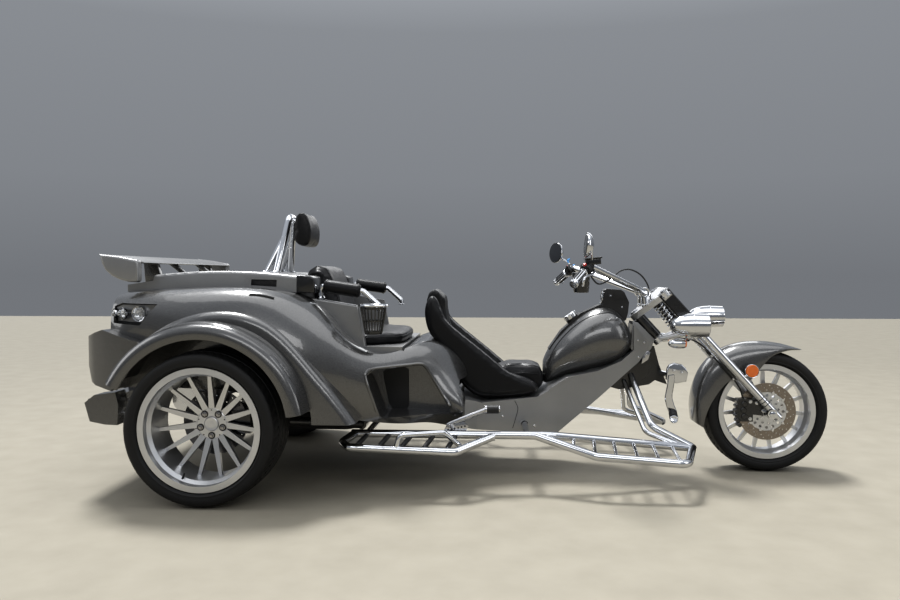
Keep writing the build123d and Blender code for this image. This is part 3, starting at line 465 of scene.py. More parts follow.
def rounded(points, radius, steps=6):
    """Straight runs between points, joined by arcs of one radius."""
    points = [Vector(p) for p in points]
    path = [points[0]]
    for before, corner, after in zip(points, points[1:], points[2:]):
        back, ahead = before - corner, after - corner
        half = back.angle(ahead) / 2
        slope = sin(half) / cos(half)
        reach = min(radius / slope, LONGEST_ARC * min(back.length, ahead.length))
        first = corner + back.normalized() * reach
        last = corner + ahead.normalized() * reach
        to_middle = (back.normalized() + ahead.normalized()).normalized()
        middle = corner + to_middle * (reach / cos(half))
        path += [middle + (first - middle).slerp(last - middle, i / steps) * (reach * slope)
                 for i in range(steps + 1)]
    return path + [points[-1]]


def rims(low, high, edge, steps):
    """Levels from low to high with the inset that rounds both rims by an edge radius."""
    turns = [radians(90 * i / steps) for i in range(steps + 1)]
    lower = [(low + edge * (1 - cos(t)), edge * (1 - sin(t))) for t in turns]
    return lower + [(high + low - level, drawn) for level, drawn in reversed(lower)]


class Form:
    """A mesh in the making, of closed skins."""

    def __init__(self):
        self.bm = bmesh.new()

    def skin(self, rings, loop=False):
        """Join rings of equally many points, end to end or with a face over each end."""
        rows = [[self.bm.verts.new(point) for point in ring] for ring in rings]
        joins = list(zip(rows, rows[1:]))
        if loop:
            joins.append((rows[-1], rows[0]))
        else:
            self.bm.faces.new(rows[0][::-1])
            self.bm.faces.new(rows[-1])
        for first, second in joins:
            for i, j in zip(range(len(first)), [*range(1, len(first)), 0]):
                self.bm.faces.new((first[i], first[j], second[j], second[i]))

    def turn(self, profile, centre, axis, steps=32):
        """A turned solid: columns of the profile are the place along the axis and the radius."""
        axis, first, second = directions(axis)
        angles = [2 * pi * i / steps for i in range(steps)]
        self.skin([[Vector(centre) + axis * along + first * (radius * cos(a))
                    + second * (radius * sin(a)) for a in angles] for along, radius in profile])

    def hoop(self, profile, centre, axis, steps=64, start=0, end=360):
        """A closed profile carried round an axis, the whole way or from start to end."""
        axis, first, second = directions(axis)
        whole = end - start >= 360
        angles = [radians(start + (end - start) * i / steps) for i in range(steps + (not whole))]
        self.skin([[Vector(centre) + axis * along
                    + (first * cos(a) + second * sin(a)) * radius for along, radius in profile]
                   for a in angles], whole)

    def tube(self, points, radius, sides=10, loop=False):
        """A round tube along points, with one radius or one for each point."""
        points = [Vector(p) for p in points]
        radii = radius if isinstance(radius, list) else [radius] * len(points)
        rings = []
        up = None
        for i, point in enumerate(points):
            before = points[i - 1] if i or loop else point
            after = points[(i + 1) % len(points)] if i + 1 < len(points) or loop else point
            along = (after - before).normalized()
            up = along.orthogonal() if up is None else up - along * up.dot(along)
            up.normalize()
            side = along.cross(up)
            rings.append([point + (up * cos(2 * pi * k / sides) + side * sin(2 * pi * k / sides))
                          * radii[i] for k in range(sides)])
        self.skin(rings, loop)

    def plate(self, outline, low, high, edge, steps, flat=False):
        """An outline in the side view or, if flat, in plan, thick from low to high."""
        self.skin([[(a, b, level) if flat else (a, level, b) for a, b in inset(outline, drawn)]
                   for level, drawn in rims(low, high, edge, steps)])

    def side_plate(self, outline, side, near, far, edge, steps):
        """A plate on one side, between two distances from the middle."""
        self.plate(outline, *sorted((side * near, side * far)), edge, steps)

    def bolt(self, place, axis, radius, height):
        """A hexagon head with a washer under it."""
        self.turn([(0, radius * 1.5), (height * 0.2, radius * 1.5), (height * 0.22, radius * 1.3)],
                  place, axis, 20)
        self.turn([(height * 0.2, radius), (height * 0.85, radius), (height, radius * 0.82)],
                  place, axis, 6)

    def drilled(self, centre, low, high, inner, outer, holes):
        """A flat ring across the object: rows of radius, count, size and first angle of holes."""
        loops = [(0, 0, outer, OUTER_STEPS), (0, 0, inner, INNER_STEPS)]
        for ring, count, size, first in holes:
            for i in range(count):
                angle = radians(first + 360 * i / count)
                loops.append((ring * cos(angle), ring * sin(angle), size, HOLE_STEPS))
        ring_mesh = bmesh.new()
        for x, z, radius, steps in loops:
            spots = [ring_mesh.verts.new((centre[0] + x + radius * cos(2 * pi * i / steps), low,
                                          centre[2] + z + radius * sin(2 * pi * i / steps)))
                     for i in range(steps)]
            for i in range(steps):
                ring_mesh.edges.new((spots[i - 1], spots[i]))
        bmesh.ops.triangle_fill(ring_mesh, edges=ring_mesh.edges[:], use_beauty=True)
        moved = bmesh.ops.extrude_face_region(ring_mesh, geom=ring_mesh.faces[:])["geom"]
        for vert in moved:
            if isinstance(vert, bmesh.types.BMVert):
                vert.co.y = high
        mesh = bpy.data.meshes.new("ring")
        ring_mesh.to_mesh(mesh)
        ring_mesh.free()
        self.bm.from_mesh(mesh)
        bpy.data.meshes.remove(mesh)

    def mesh(self, name, sharp):
        """The finished mesh, smooth but for its sharp edges."""
        bmesh.ops.recalc_face_normals(self.bm, faces=self.bm.faces[:])
        mesh = bpy.data.meshes.new(name)
        self.bm.to_mesh(mesh)
        self.bm.free()
        mesh.shade_smooth()
        mesh.set_sharp_from_angle(angle=radians(sharp))
        return mesh


def forms(count):
    """So many empty forms."""
    return [Form() for _ in range(count)]


def place_piece(obj, finish, body, replaces=()):
    """Give a piece its finish, its body and the nodes that it stands for."""
    obj.data.materials.clear()
    obj.data.materials.append(finish.material)
    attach(obj, body)
    if replaces:
        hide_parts(*replaces)


def piece(form, name, finish, body, replaces=(), sharp=SHARP):
    """Finish a form as one piece of the object."""
    place_piece(new_object(name, form.mesh(name, sharp)), finish, body, replaces)


def on_skin(obj, point):
    """The nearest point of an object's surface and the direction out of it."""
    _, place, normal, _ = obj.closest_point_on_mesh(Vector(point))
    return place, normal


def on_side(node, x, z, side):
    """The point of a node's side at x and z, seen from the right (-1) or the left (1)."""
    node = NODES[node]
    found, place, normal, _ = node.ray_cast(Vector((x, side * 1.2, z)), Vector((0, -side, 0)))
    return (place, normal) if found else on_skin(node, (x, side * 0.5, z))


def along_side(node, points, side, lift):
    """Points of a node's side at rows of x and z, each lifted off the surface."""
    spots = [on_side(node, x, z, side) for x, z in points]
    return [place + normal * lift for place, normal in spots]


def flipped(point, side):
    """A point of the left side, kept there or mirrored to the right."""
    return Vector((point[0], side * point[1], point[2]))


def mirrored(points):
    """A half outline in plan with its mirror image, as one closed outline."""
    return points + [(x, -y) for x, y in reversed(points)]


# Edges of the hard pieces

WELD = 0.00002
# Degrees up to which an edge is smooth, and from which a rim is rounded
SMOOTH_ANGLE = 30
RIM_ANGLE = 38
RIM_SEGMENTS = 2


def soft_edges():
    """A node group that welds facets and smooths all but the sharp edges."""
    group = bpy.data.node_groups.new("soft_edges", "GeometryNodeTree")
    group.interface.new_socket("Geometry", in_out="INPUT", socket_type="NodeSocketGeometry")
    group.interface.new_socket("Geometry", in_out="OUTPUT", socket_type="NodeSocketGeometry")

    def add(kind, **settings):
        node = group.nodes.new(kind)
        for name, value in settings.items():
            setattr(node, name, value)
        return node

    start = add("NodeGroupInput")
    weld = add("GeometryNodeMergeByDistance")
    weld.inputs["Distance"].default_value = WELD
    plain = add("GeometryNodeRemoveAttribute")
    plain.inputs["Name"].default_value = "custom_normal"
    faces = add("GeometryNodeSetShadeSmooth", domain="FACE")
    angle = add("GeometryNodeInputMeshEdgeAngle")
    gentle = add("FunctionNodeCompare", data_type="FLOAT", operation="LESS_EQUAL")
    gentle.inputs[1].default_value = radians(SMOOTH_ANGLE)
    edges = add("GeometryNodeSetShadeSmooth", domain="EDGE")
    end = add("NodeGroupOutput")
    for source, target in (
            (start.outputs[0], weld.inputs["Geometry"]),
            (weld.outputs[0], plain.inputs["Geometry"]),
            (plain.outputs[0], faces.inputs["Geometry"]),
            (faces.outputs[0], edges.inputs["Geometry"]),
            (angle.outputs["Unsigned Angle"], gentle.inputs[0]),
            (gentle.outputs[0], edges.inputs["Shade Smooth"]),
            (edges.outputs[0], end.inputs[0])):
        group.links.new(source, target)
    return group


# Radius of the rims of each rounded node
ROUNDED = {
    "rear_body": 0.004, "flares": 0.003, "boot_lid": 0.002, "bumpers": 0.008,
    "passenger_shell": 0.002, "spine_cover": 0.008, "tank_console": 0.005,
    "main_frame": 0.002, "engine_block": 0.004, "fork_yokes": 0.003, "front_caliper": 0.004,
    "front_rim": 0.0008, "rear_rim_right": 0.001, "rear_rim_left": 0.001,
}


def soften(group):
    """Smooth every hard piece and round the rims of those that have a radius."""
    for name, node in NODES.items():
        smooth = node.modifiers.new("soft_edges", "NODES")
        smooth.node_group = group
        if name in ROUNDED:
            rim = node.modifiers.new("rims", "BEVEL")
            rim.width = ROUNDED[name]
            rim.segments = RIM_SEGMENTS
            rim.limit_method = "ANGLE"
            rim.angle_limit = radians(RIM_ANGLE)
            rim.harden_normals = True
            rim.use_clamp_overlap = True


soften(soft_edges())


# Wheels: tyres with tread, drilled discs, nuts and caps

# Half width, bead half width, seat, flange and crown radii, and the grooves' places across
REAR_TYRE = (0.1425, 0.1185, 0.254, 0.271, 0.34, (-0.066, -0.022, 0.022, 0.066))
FRONT_TYRE = (0.088, 0.065, 0.228, 0.243, 0.31, (-0.03, 0.0, 0.03))
# Node, body, place across, axle, form and finish
TYRES = [
    ("rear_tyre_right", "rear_wheel_right", -HALF_TRACK, REAR_AXLE, REAR_TYRE, TYRE_REAR),
    ("rear_tyre_left", "rear_wheel_left", HALF_TRACK, REAR_AXLE, REAR_TYRE, TYRE_REAR),
    ("front_tyre", "front_wheel", 0, FRONT_AXLE, FRONT_TYRE, TYRE_FRONT),
]
TREAD_STEPS = 240
TREAD_DEPTH = 0.006
TREAD_INSET = 0.022
CROWN_DROP = 0.009
CUT_EVERY = 4
CUT_LEAN = 0.022
CUT_DEPTH = 0.8 * TREAD_DEPTH
GROOVE_FLOOR = 0.0035
GROOVE_MOUTH = 0.0045


def tyre_section(half, bead, seat, flange, crown, grooves):
    """A tyre's section: places across, radii, and 1 where the top of a block is."""
    shoulder = crown - CROWN_DROP
    tread = half - TREAD_INSET
    wall = [(bead, seat), (bead, flange), (bead + 0.004, flange + 0.004),
            (half - 0.006, flange + 0.009), (half - 0.003, flange + 0.014),
            (half - 0.004, flange + 0.018), (half - 0.0005, (flange + shoulder) / 2 - 0.004),
            (half - 0.002, shoulder - 0.016), (half - 0.006, shoulder - 0.008),
            (half - 0.012, shoulder - 0.002)]
    spots = [(-tread, 0)]
    for groove in grooves:
        spots += [(groove - GROOVE_MOUTH, 0), (groove - GROOVE_FLOOR, 1),
                  (groove + GROOVE_FLOOR, 1), (groove + GROOVE_MOUTH, 0)]
    spots.append((tread, 0))
    line = []
    for (a, deep), (b, _) in zip(spots, spots[1:]):
        steps = 3 if b - a > 0.008 else 1
        line += [(a + (b - a) * i / steps, deep if i == 0 else 0) for i in range(steps)]
    line.append(spots[-1])
    top = [(y, crown - CROWN_DROP * (y / tread) ** 2 - deep * TREAD_DEPTH, 1 - deep)
           for y, deep in line]
    return [(-y, r, 0) for y, r in wall] + top + [(y, r, 0) for y, r in reversed(wall)]


def tyres():
    """Three tyres with grooves round them and cuts across their outer blocks."""
    for node, body, across, axle, form, finish in TYRES:
        section = tyre_section(*form)
        outer_groove = form[-1][-1]
        rings = []
        for i in range(TREAD_STEPS):
            angle = 2 * pi * i / TREAD_STEPS
            ring = []
            for y, radius, block in section:
                lean = int(abs(y) / CUT_LEAN)
                cut = block and abs(y) > outer_groove and (i + lean) % CUT_EVERY == 0
                reach = radius - (CUT_DEPTH if cut else 0)
                ring.append((axle.x + reach * cos(angle), across + y,
                             axle.z + reach * sin(angle)))
            rings.append(ring)
        shape = Form()
        shape.skin(rings, loop=True)
        piece(shape, node + "_tread", finish, body, (node,), sharp=40)


HUB_OFFSET = 0.029
NUT_RING = 0.053
HOLE_RING = 0.062
VALVE_OFFSET = 0.084
# Radii of the rim's well, its edge and the valve's tip, and the turn of the valve
VALVE = (0.243, 0.226, 0.212)
VALVE_TURN = -112


def rear_wheel_fittings():
    """Five nuts in dark pockets, a bare cap, a drilled disc and a valve on each rear wheel."""
    for name, side in SIDES:
        body = "rear_wheel_" + name
        out = (0, side, 0)
        face = Vector((REAR_AXLE.x, side * (HALF_TRACK - HUB_OFFSET), REAR_AXLE.z))
        pockets, nuts, cap, disc, bell, valve = forms(6)
        for spoke, between in zip(spokes(RIGHT, range(126, 486, 72)),
                                  spokes(RIGHT, range(162, 522, 72))):
            spot = face + spoke * NUT_RING
            pockets.hoop([(-0.001, 0.0125), (0.001, 0.0125), (0.0012, 0.0165), (-0.001, 0.0165)],
                         spot, out, 24)
            pockets.turn([(-0.001, 0.0135), (0.0004, 0.0135)], spot, out, 24)
            nuts.turn([(0, 0.0112), (0.003, 0.0112), (0.0034, 0.0095)], spot, out, 20)
            nuts.turn([(0.003, 0.0088), (0.011, 0.0088), (0.0135, 0.0062), (0.014, 0.002)],
                      spot, out, 6)
            pockets.turn([(-0.001, 0.0032), (0.0005, 0.0032)], face + between * HOLE_RING,
                         out, 12)
        cap.turn([(0.0045, 0.0305), (0.0065, 0.0305), (0.0078, 0.0285), (0.0078, 0.026),
                  (0.0072, 0.0245), (0.0082, 0.012), (0.0084, 0.002)], face, out, 40)
        piece(pockets, f"nut_pockets_{name}", BLACK, body)
        piece(nuts, f"wheel_nuts_{name}", DARK_CHROME, body)
        piece(cap, f"wheel_cap_{name}", ALLOY, body)
        low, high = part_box(f"rear_disc_{name}")
        disc.drilled(REAR_AXLE, low.y, high.y, 0.088, 0.148,
                     [(0.104, 18, 0.0035, 0), (0.119, 18, 0.0035, 7), (0.134, 18, 0.0035, 14)])
        middle = Vector((REAR_AXLE.x, (low.y + high.y) / 2, REAR_AXLE.z))
        bell.hoop(flat_ring(0.0034, 0.031, 0.092), middle, out, 64)
        piece(disc, f"drilled_disc_{name}", DISC_REAR, body,
              (f"rear_disc_{name}",))
        piece(bell, f"disc_bell_{name}", CAST, body)
        foot = Vector((REAR_AXLE.x, side * (HALF_TRACK + VALVE_OFFSET), REAR_AXLE.z))
        down = spokes(RIGHT, [VALVE_TURN])[0]
        root, neck, tip = (foot + down * reach for reach in VALVE)
        valve.tube([root, neck, tip + Vector(out) * 0.004], [0.0055, 0.0045, 0.0035], 10)
        piece(valve, f"valve_{name}", GRIP, body)


def front_wheel_fittings():
    """The drilled front disc on its slotted alloy carrier, with its buttons and bolts."""
    low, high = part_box("front_disc")
    disc, carrier, buttons = forms(3)
    disc.drilled(FRONT_AXLE, low.y, high.y, 0.1, 0.146,
                 [(0.110, 20, 0.0032, 0), (0.1225, 20, 0.0032, 6), (0.135, 20, 0.0032, 12)])
    carrier.drilled(FRONT_AXLE, low.y + 0.0005, high.y - 0.0005, 0.0155, 0.0985,
                    [(0.082, 16, 0.0075, 0), (0.060, 12, 0.006, 10)])
    face = FRONT_AXLE + Vector((0, low.y, 0))
    for spoke in spokes(RIGHT, range(0, 360, 36)):
        buttons.turn([(0, 0.0068), (0.001, 0.0075), (0.009, 0.0075)],
                     face + spoke * 0.0992 + Vector((0, -0.0015, 0)), (0, 1, 0), 18)
    for spoke in spokes(RIGHT, range(18, 378, 72)):
        buttons.bolt(face + spoke * 0.036, RIGHT, 0.0055, 0.004)
    piece(disc, "drilled_front_disc", DISC_FRONT, "front_wheel", ("front_disc",))
    piece(carrier, "front_disc_carrier", ALLOY, "front_wheel")
    piece(buttons, "front_disc_buttons", CHROME, "front_wheel")


tyres()
rear_wheel_fittings()
front_wheel_fittings()


# Leather: simulated cushions with their seams

PRESSURE = 4.0
STIFFNESS = 18
BENDING = 1.5
CLOTH_FRAMES = 20
PIPING_R = 0.0028
PIPING_SUNK = 0.0008


def puffed(obj, swell):
    """Inflate a closed mesh by simulated cloth, with each point held within a reach."""
    rest = [vert.co.copy() for vert in obj.data.vertices]
    cloth = obj.modifiers.new("puff", "CLOTH")
    settings = cloth.settings
    settings.use_pressure = True
    settings.uniform_pressure_force = PRESSURE
    settings.effector_weights.gravity = 0
    settings.tension_stiffness = STIFFNESS
    settings.compression_stiffness = STIFFNESS
    settings.bending_stiffness = BENDING
    scene = bpy.context.scene
    for frame_number in range(1, CLOTH_FRAMES + 1):
        scene.frame_set(frame_number)
    shaped = obj.evaluated_get(bpy.context.evaluated_depsgraph_get()).data
    moved = [vert.co.copy() for vert in shaped.vertices]
    obj.modifiers.remove(cloth)
    for vert, before, after in zip(obj.data.vertices, rest, moved):
        step = after - before
        vert.co = before + step * min(1, swell / max(step.length, 1e-6))
    scene.frame_set(1)


def stuffed(form, name, node, swell, voxel=0.0075):
    """Make a closed form into a padded leather piece that stands for a node."""
    raw = new_object(name + "_raw", form.mesh(name + "_raw", SHARP))
    remesh = raw.modifiers.new("even", "REMESH")
    remesh.mode = "VOXEL"
    remesh.voxel_size = voxel
    ease = raw.modifiers.new("ease", "SMOOTH")
    ease.factor = 0.5
    ease.iterations = 6
    bpy.context.view_layer.update()
    mesh = bpy.data.meshes.new_from_object(
        raw.evaluated_get(bpy.context.evaluated_depsgraph_get()))
    bpy.data.objects.remove(raw)
    pad = new_object(name, mesh)
    puffed(pad, swell)
    finer = pad.modifiers.new("finer", "SUBSURF")
    finer.levels = finer.render_levels = 1
    pad.data.shade_smooth()
    place_piece(pad, LEATHER, "chassis", (node,))
    bpy.context.view_layer.update()
    return pad


def cushion(name, node, outline, span, edge, steps, swell, voxel=0.0075, flat=False):
    """A padded piece from an outline and the span of its thickness."""
    form = Form()
    form.plate(outline, *span, edge, steps, flat)
    return stuffed(form, name, node, swell, voxel)


def piping(name, paths):
    """Sewn piping: rows of a pad, the points that it follows and whether it closes."""
    cord = Form()
    for pad, points, loop in paths:
        spots = [on_skin(pad, point) for point in curved(points, 8, loop)]
        cord.tube([place - normal * PIPING_SUNK for place, normal in spots], PIPING_R, 8, loop)
    piece(cord, name, LEATHER, "chassis")


# Outlines in the side view (x, z)
BOLSTER = [(-0.229, 0.903), (-0.256, 0.866), (-0.264, 0.815), (-0.256, 0.756), (-0.235, 0.704),
           (-0.181, 0.632), (-0.114, 0.511), (-0.077, 0.455), (-0.032, 0.411), (0.022, 0.383),
           (0.09, 0.377), (0.179, 0.381), (0.26, 0.391), (0.308, 0.406), (0.322, 0.432),
           (0.304, 0.458), (0.26, 0.484), (0.201, 0.509), (0.157, 0.534), (0.083, 0.596),
           (0.008, 0.657), (-0.066, 0.716), (-0.137, 0.778), (-0.174, 0.83), (-0.2, 0.886)]
PAN = [(-0.25, 0.83), (-0.249, 0.885), (-0.236, 0.925), (-0.21, 0.942), (-0.182, 0.928),
       (-0.166, 0.89), (-0.162, 0.83), (-0.148, 0.76), (-0.085, 0.6), (0.0, 0.53), (0.12, 0.504),
       (0.2, 0.47), (0.2, 0.41), (0.035, 0.385), (-0.02, 0.42), (-0.083, 0.48), (-0.147, 0.6),
       (-0.19, 0.693), (-0.236, 0.755)]
NOSE = [(-0.06, 0.505), (0.06, 0.512), (0.14, 0.535), (0.17, 0.546), (0.3, 0.546),
        (0.336, 0.535), (0.35, 0.505), (0.352, 0.45), (0.32, 0.41), (0.1, 0.42)]
SEAT_MIDDLE = 0.13
SEAT_SIDE = 0.205


def driver_seat():
    """The bucket seat: a pan and its raised nose between two crowned bolsters."""
    paths = []
    for name, side in SIDES:
        span = sorted((side * (SEAT_MIDDLE - 0.012), side * SEAT_SIDE))
        bolster = cushion(f"seat_bolster_{name}", "driver_seat", curved(BOLSTER, 3, True), span,
                          0.032, 5, 0.007)
        ridge = [(x, side * (SEAT_SIDE - 0.034), z + 0.004) for x, z in BOLSTER[15:]]
        hem = [(x, side * (SEAT_SIDE - 0.006), z) for x, z in inset(BOLSTER, 0.026)[1:14]]
        paths += [(bolster, ridge, False), (bolster, hem, False)]
    pan = cushion("seat_pan", "driver_seat", PAN, (-SEAT_MIDDLE, SEAT_MIDDLE), 0.018, 4, 0.008)
    nose = cushion("seat_nose", "driver_seat", NOSE, (-0.118, 0.118), 0.026, 5, 0.006)
    rim = [(x, -0.1, z) for x, z in inset(NOSE, 0.004)[2:8]]
    tier = [(0.15, -0.13, 0.5), (0.25, -0.13, 0.506), (0.32, -0.13, 0.5), (0.36, -0.1, 0.494)]
    tier += [(0.365, 0.0, 0.494)] + [(x, -y, z) for x, y, z in reversed(tier)]
    paths += [(nose, rim, False), (nose, [(x, -y, z) for x, y, z in rim], False),
              (nose, tier, False)]
    for y in (-0.05, 0.05):
        paths.append((pan, [(-0.2, y, 0.87), (-0.165, y, 0.76), (-0.095, y, 0.6),
                            (0.0, y, 0.53), (0.1, y, 0.508)], False))
    piping("seat_piping", paths)


BENCH = [(-0.7, 0.39), (-0.52, 0.385), (-0.462, 0.35), (-0.43, 0.315), (-0.385, 0.295),
         (-0.356, 0.24), (-0.344, 0.15), (-0.341, 0.05)]
BENCH_TOP = 0.718
BACKREST = [(-0.826, 0.76), (-0.826, 0.985), (-0.858, 1.008), (-0.856, 1.04), (-0.812, 1.068),
            (-0.765, 1.052), (-0.733, 0.983), (-0.66, 0.765)]
BACK_SEAM = [(-0.85, 1.03), (-0.81, 1.075), (-0.76, 1.055), (-0.72, 0.98), (-0.68, 0.84)]
HEADREST = [(-0.944, 1.184), (-0.95, 1.25), (-0.936, 1.316), (-0.908, 1.335), (-0.88, 1.314),
            (-0.861, 1.25), (-0.868, 1.18), (-0.9, 1.158)]
HEADREST_HALF = 0.118
ARM_PAD = [Vector((-0.72, 0.423, 0.9565)), Vector((-0.541, 0.423, 0.9305))]
ARM_PAD_R = 0.0325


def passenger_seat():
    """The bench with its overhanging front, the backrest, the headrest and the arm pads."""
    outline = mirrored(BENCH)
    bench = cushion("bench_cushion", "passenger_bench", outline, (0.668, BENCH_TOP), 0.022, 5,
                    0.007, 0.008, flat=True)
    back = cushion("backrest_cushion", "passenger_backrest", BACKREST, (-0.235, 0.235), 0.07, 6,
                   0.009, 0.01)
    head = cushion("headrest_cushion", "headrest_pad", curved(HEADREST, 3, True),
                   (-HEADREST_HALF, HEADREST_HALF), 0.02, 5, 0.004, 0.0055)
    bands = Form()
    for name, side in SIDES:
        start, end = (flipped(point, side) for point in ARM_PAD)
        run = (end - start).length
        form = Form()
        form.turn([(0, 0.022), (0.004, 0.029), (0.012, ARM_PAD_R), (run - 0.012, ARM_PAD_R),
                   (run - 0.004, 0.029), (run, 0.022)], start, end - start, 32)
        stuffed(form, f"arm_cushion_{name}", "armrest_pads", 0.0015, 0.0045)
        for along in (0.08, 0.92):
            bands.hoop(flat_ring(0.003, ARM_PAD_R - 0.002, ARM_PAD_R + 0.0022),
                       start.lerp(end, along), end - start, 40)
    paths = [(bench, [(x, y, BENCH_TOP - 0.012) for x, y in outline[1:-1]], False)]
    for y in (HEADREST_HALF, -HEADREST_HALF):
        paths.append((head, [(x, y, z) for x, z in HEADREST], True))
    for side in (-1, 1):
        paths.append((back, [(x, side * 0.19, z) for x, z in BACK_SEAM], False))
    piping("bench_piping", paths)
    piece(bands, "arm_cushion_bands", LEATHER, "chassis")


driver_seat()
passenger_seat()


# Fork: spring, covers, lamps, mirrors, grips

RAKE = radians(42.5)
TRAIL = 0.15
AHEAD = Vector((cos(RAKE), 0, sin(RAKE)))
UPWARD = Vector((-sin(RAKE), 0, cos(RAKE)))
STEERING = FRONT_AXLE - AHEAD * TRAIL
LEG_AHEAD = 0.164
LEG_Y = 0.122
BAR_BEND = Vector((0.548, 0.385, 1.052))
GRIP_TIP = Vector((0.463, 0.5, 0.966))


def in_fork(ahead, left, up):
    """A point given ahead of the steering axis, to the left and up along it."""
    return STEERING + AHEAD * ahead + Vector((0, left, 0)) + UPWARD * up


# The fender's crown on the centre line, its hem at the side (x, z), and its half width
FENDER = [((1.131, 0.249), (1.168, 0.226), 0.086), ((1.123, 0.331), (1.178, 0.286), 0.094),
          ((1.133, 0.414), (1.203, 0.352), 0.0985), ((1.163, 0.503), (1.252, 0.428), 0.0985),
          ((1.212, 0.573), (1.3, 0.472), 0.0985), ((1.286, 0.63), (1.352, 0.471), 0.0985),
          ((1.379, 0.66), (1.402, 0.478), 0.0985), ((1.475, 0.666), (1.447, 0.535), 0.0985),
          ((1.56, 0.657), (1.505, 0.597), 0.0985), ((1.618, 0.643), (1.58, 0.624), 0.094),
          ((1.664, 0.629), (1.65, 0.627), 0.074)]
# Half of a section across the fender: shares of the half width and of the height
FENDER_SECTION = [(1.0, 0.0), (1.0, 0.3), (0.985, 0.52), (0.93, 0.7), (0.8, 0.84), (0.6, 0.93),
                  (0.32, 0.984), (0.0, 1.0)]
# How far the fender's inner skin lies below the outer one and within its half width
SHEET_DOWN = 0.0045
SHEET_IN = 0.0042


def fender():
    """The painted front fender: deep at the rear, drawn out to a thin tip in front."""
    half = FENDER_SECTION + [(-a, t) for a, t in FENDER_SECTION[-2::-1]]
    crowns, hems, widths = (curved(line, 4) for line in zip(
        *((crown, hem, (wide, 0)) for crown, hem, wide in FENDER)))
    rings = []
    for crown, hem, wide in zip(crowns, hems, widths):
        rise = crown - hem
        sink = rise.normalized() * SHEET_DOWN
        ring = [Vector((hem.x + rise.x * t, a * wide.x, hem.y + rise.y * t)) for a, t in half]
        ring += [Vector((hem.x + rise.x * t - sink.x * t, a * (wide.x - SHEET_IN),
                         hem.y + rise.y * t - sink.y * t)) for a, t in reversed(half)]
        rings.append(ring)
    shell = Form()
    shell.skin(rings)
    piece(shell, "fender_shell", PAINT, "fork", ("front_fender",))


COIL_R = 0.0235
COIL_TURNS = 7
COIL_STEPS = 18
# Corners of a box with cut edges, as shares of its half depth and half width
CUT_BOX = [(-1, -0.8), (-0.85, -1), (0.85, -1), (1, -0.8), (1, 0.8), (0.85, 1), (-0.85, 1),
           (-1, 0.8)]


def spring():
    """The coil spring on its damper."""
    coil, damper = forms(2)
    low, top = in_fork(0.1, 0, 0.592), in_fork(0.118, 0, 0.785)
    along = (top - low).normalized()
    length = (top - low).length
    count = COIL_TURNS * COIL_STEPS
    angles = [360 * i / COIL_STEPS for i in range(count + 1)]
    coil.tube([low + along * (0.022 + (length - 0.05) * i / count) + spoke * COIL_R
               for i, spoke in enumerate(spokes(along, angles))], 0.0048, 8)
    damper.turn([(-0.006, 0.012), (0.0, 0.016), (0.012, 0.016), (0.012, 0.027),
                 (0.018, 0.027), (0.018, 0.011), (length - 0.024, 0.011),
                 (length - 0.024, 0.027), (length - 0.017, 0.027), (length - 0.017, 0.015),
                 (length, 0.015)], low, along, 32)
    piece(coil, "spring_coil", CHROME, "fork", ("fork_spring",))
    piece(damper, "spring_damper", GLOSS_BLACK, "fork", ("fork_spring",))


def fork_details():
    """The boxed covers of the upper legs with their bare plates, collars and bolts."""
    covers, bolts, plates = forms(3)
    for side in (-1, 1):
        leg = side * LEG_Y
        covers.skin([[in_fork(LEG_AHEAD + deep * a, leg + wide * b, up) for a, b in CUT_BOX]
                     for up, wide, deep in ((0.592, 0.022, 0.024), (0.596, 0.026, 0.03),
                                            (0.796, 0.027, 0.032), (0.812, 0.027, 0.032),
                                            (0.818, 0.024, 0.029))])
        plates.skin([[in_fork(LEG_AHEAD + 0.024 * a * size, side * (LEG_Y + out),
                              0.792 + 0.012 * b * size)
                      for a, b in ((-1, -1), (1, -1), (1, 1), (-1, 1))]
                     for out, size in ((0.0268, 1.0), (0.0282, 1.0), (0.0286, 0.94))])
        bolts.bolt(in_fork(LEG_AHEAD, leg, 0.818), UPWARD, 0.011, 0.008)
        bolts.bolt(in_fork(LEG_AHEAD, side * 0.152, 0.548), (0, side, 0), 0.008, 0.006)
        bolts.bolt(FRONT_AXLE + Vector((0, side * 0.152, 0)), (0, side, 0), 0.016, 0.01)
        bolts.bolt(in_fork(0.062, side * 0.085, 0.817), UPWARD, 0.006, 0.006)
        for radius, ups in ((0.0295, (0.527, 0.57)), (0.022, (0.05, 0.07, 0.09))):
            for up in ups:
                covers.hoop(flat_ring(0.0018, radius, radius + 0.0015),
                            in_fork(LEG_AHEAD, leg, up), UPWARD, 32)
    bolts.bolt(in_fork(0, 0, 0.817), UPWARD, 0.016, 0.01)
    piece(covers, "fork_covers", GLOSS_BLACK, "fork")
    piece(plates, "fork_plates", POLISHED, "fork")
    piece(bolts, "fork_bolts", CHROME, "fork")


HOSE_R = 0.004
# Held cables: one from the near control to the top yoke, by its own points, and one up
# behind the near leg, by points of in_fork
BAR_HOSE = [(0.545, -0.398, 1.02), (0.566, -0.398, 0.985), (0.592, -0.38, 0.966),
            (0.634, -0.32, 0.975), (0.684, -0.24, 1.003), (0.735, -0.15, 1.03),
            (0.792, -0.084, 1.036), (0.848, -0.06, 1.01), (0.886, -0.05, 0.96),
            (0.901, -0.046, 0.9), (0.902, -0.044, 0.87)]
LEG_HOSE = [(0.107, -0.09, 0.125), (0.108, -0.098, 0.15), (0.122, -0.11, 0.19),
            (0.131, -0.113, 0.25), (0.132, -0.113, 0.33), (0.132, -0.113, 0.41),
            (0.13, -0.11, 0.48), (0.112, -0.094, 0.535), (0.084, -0.072, 0.566),
            (0.06, -0.054, 0.588), (0.052, -0.047, 0.604)]


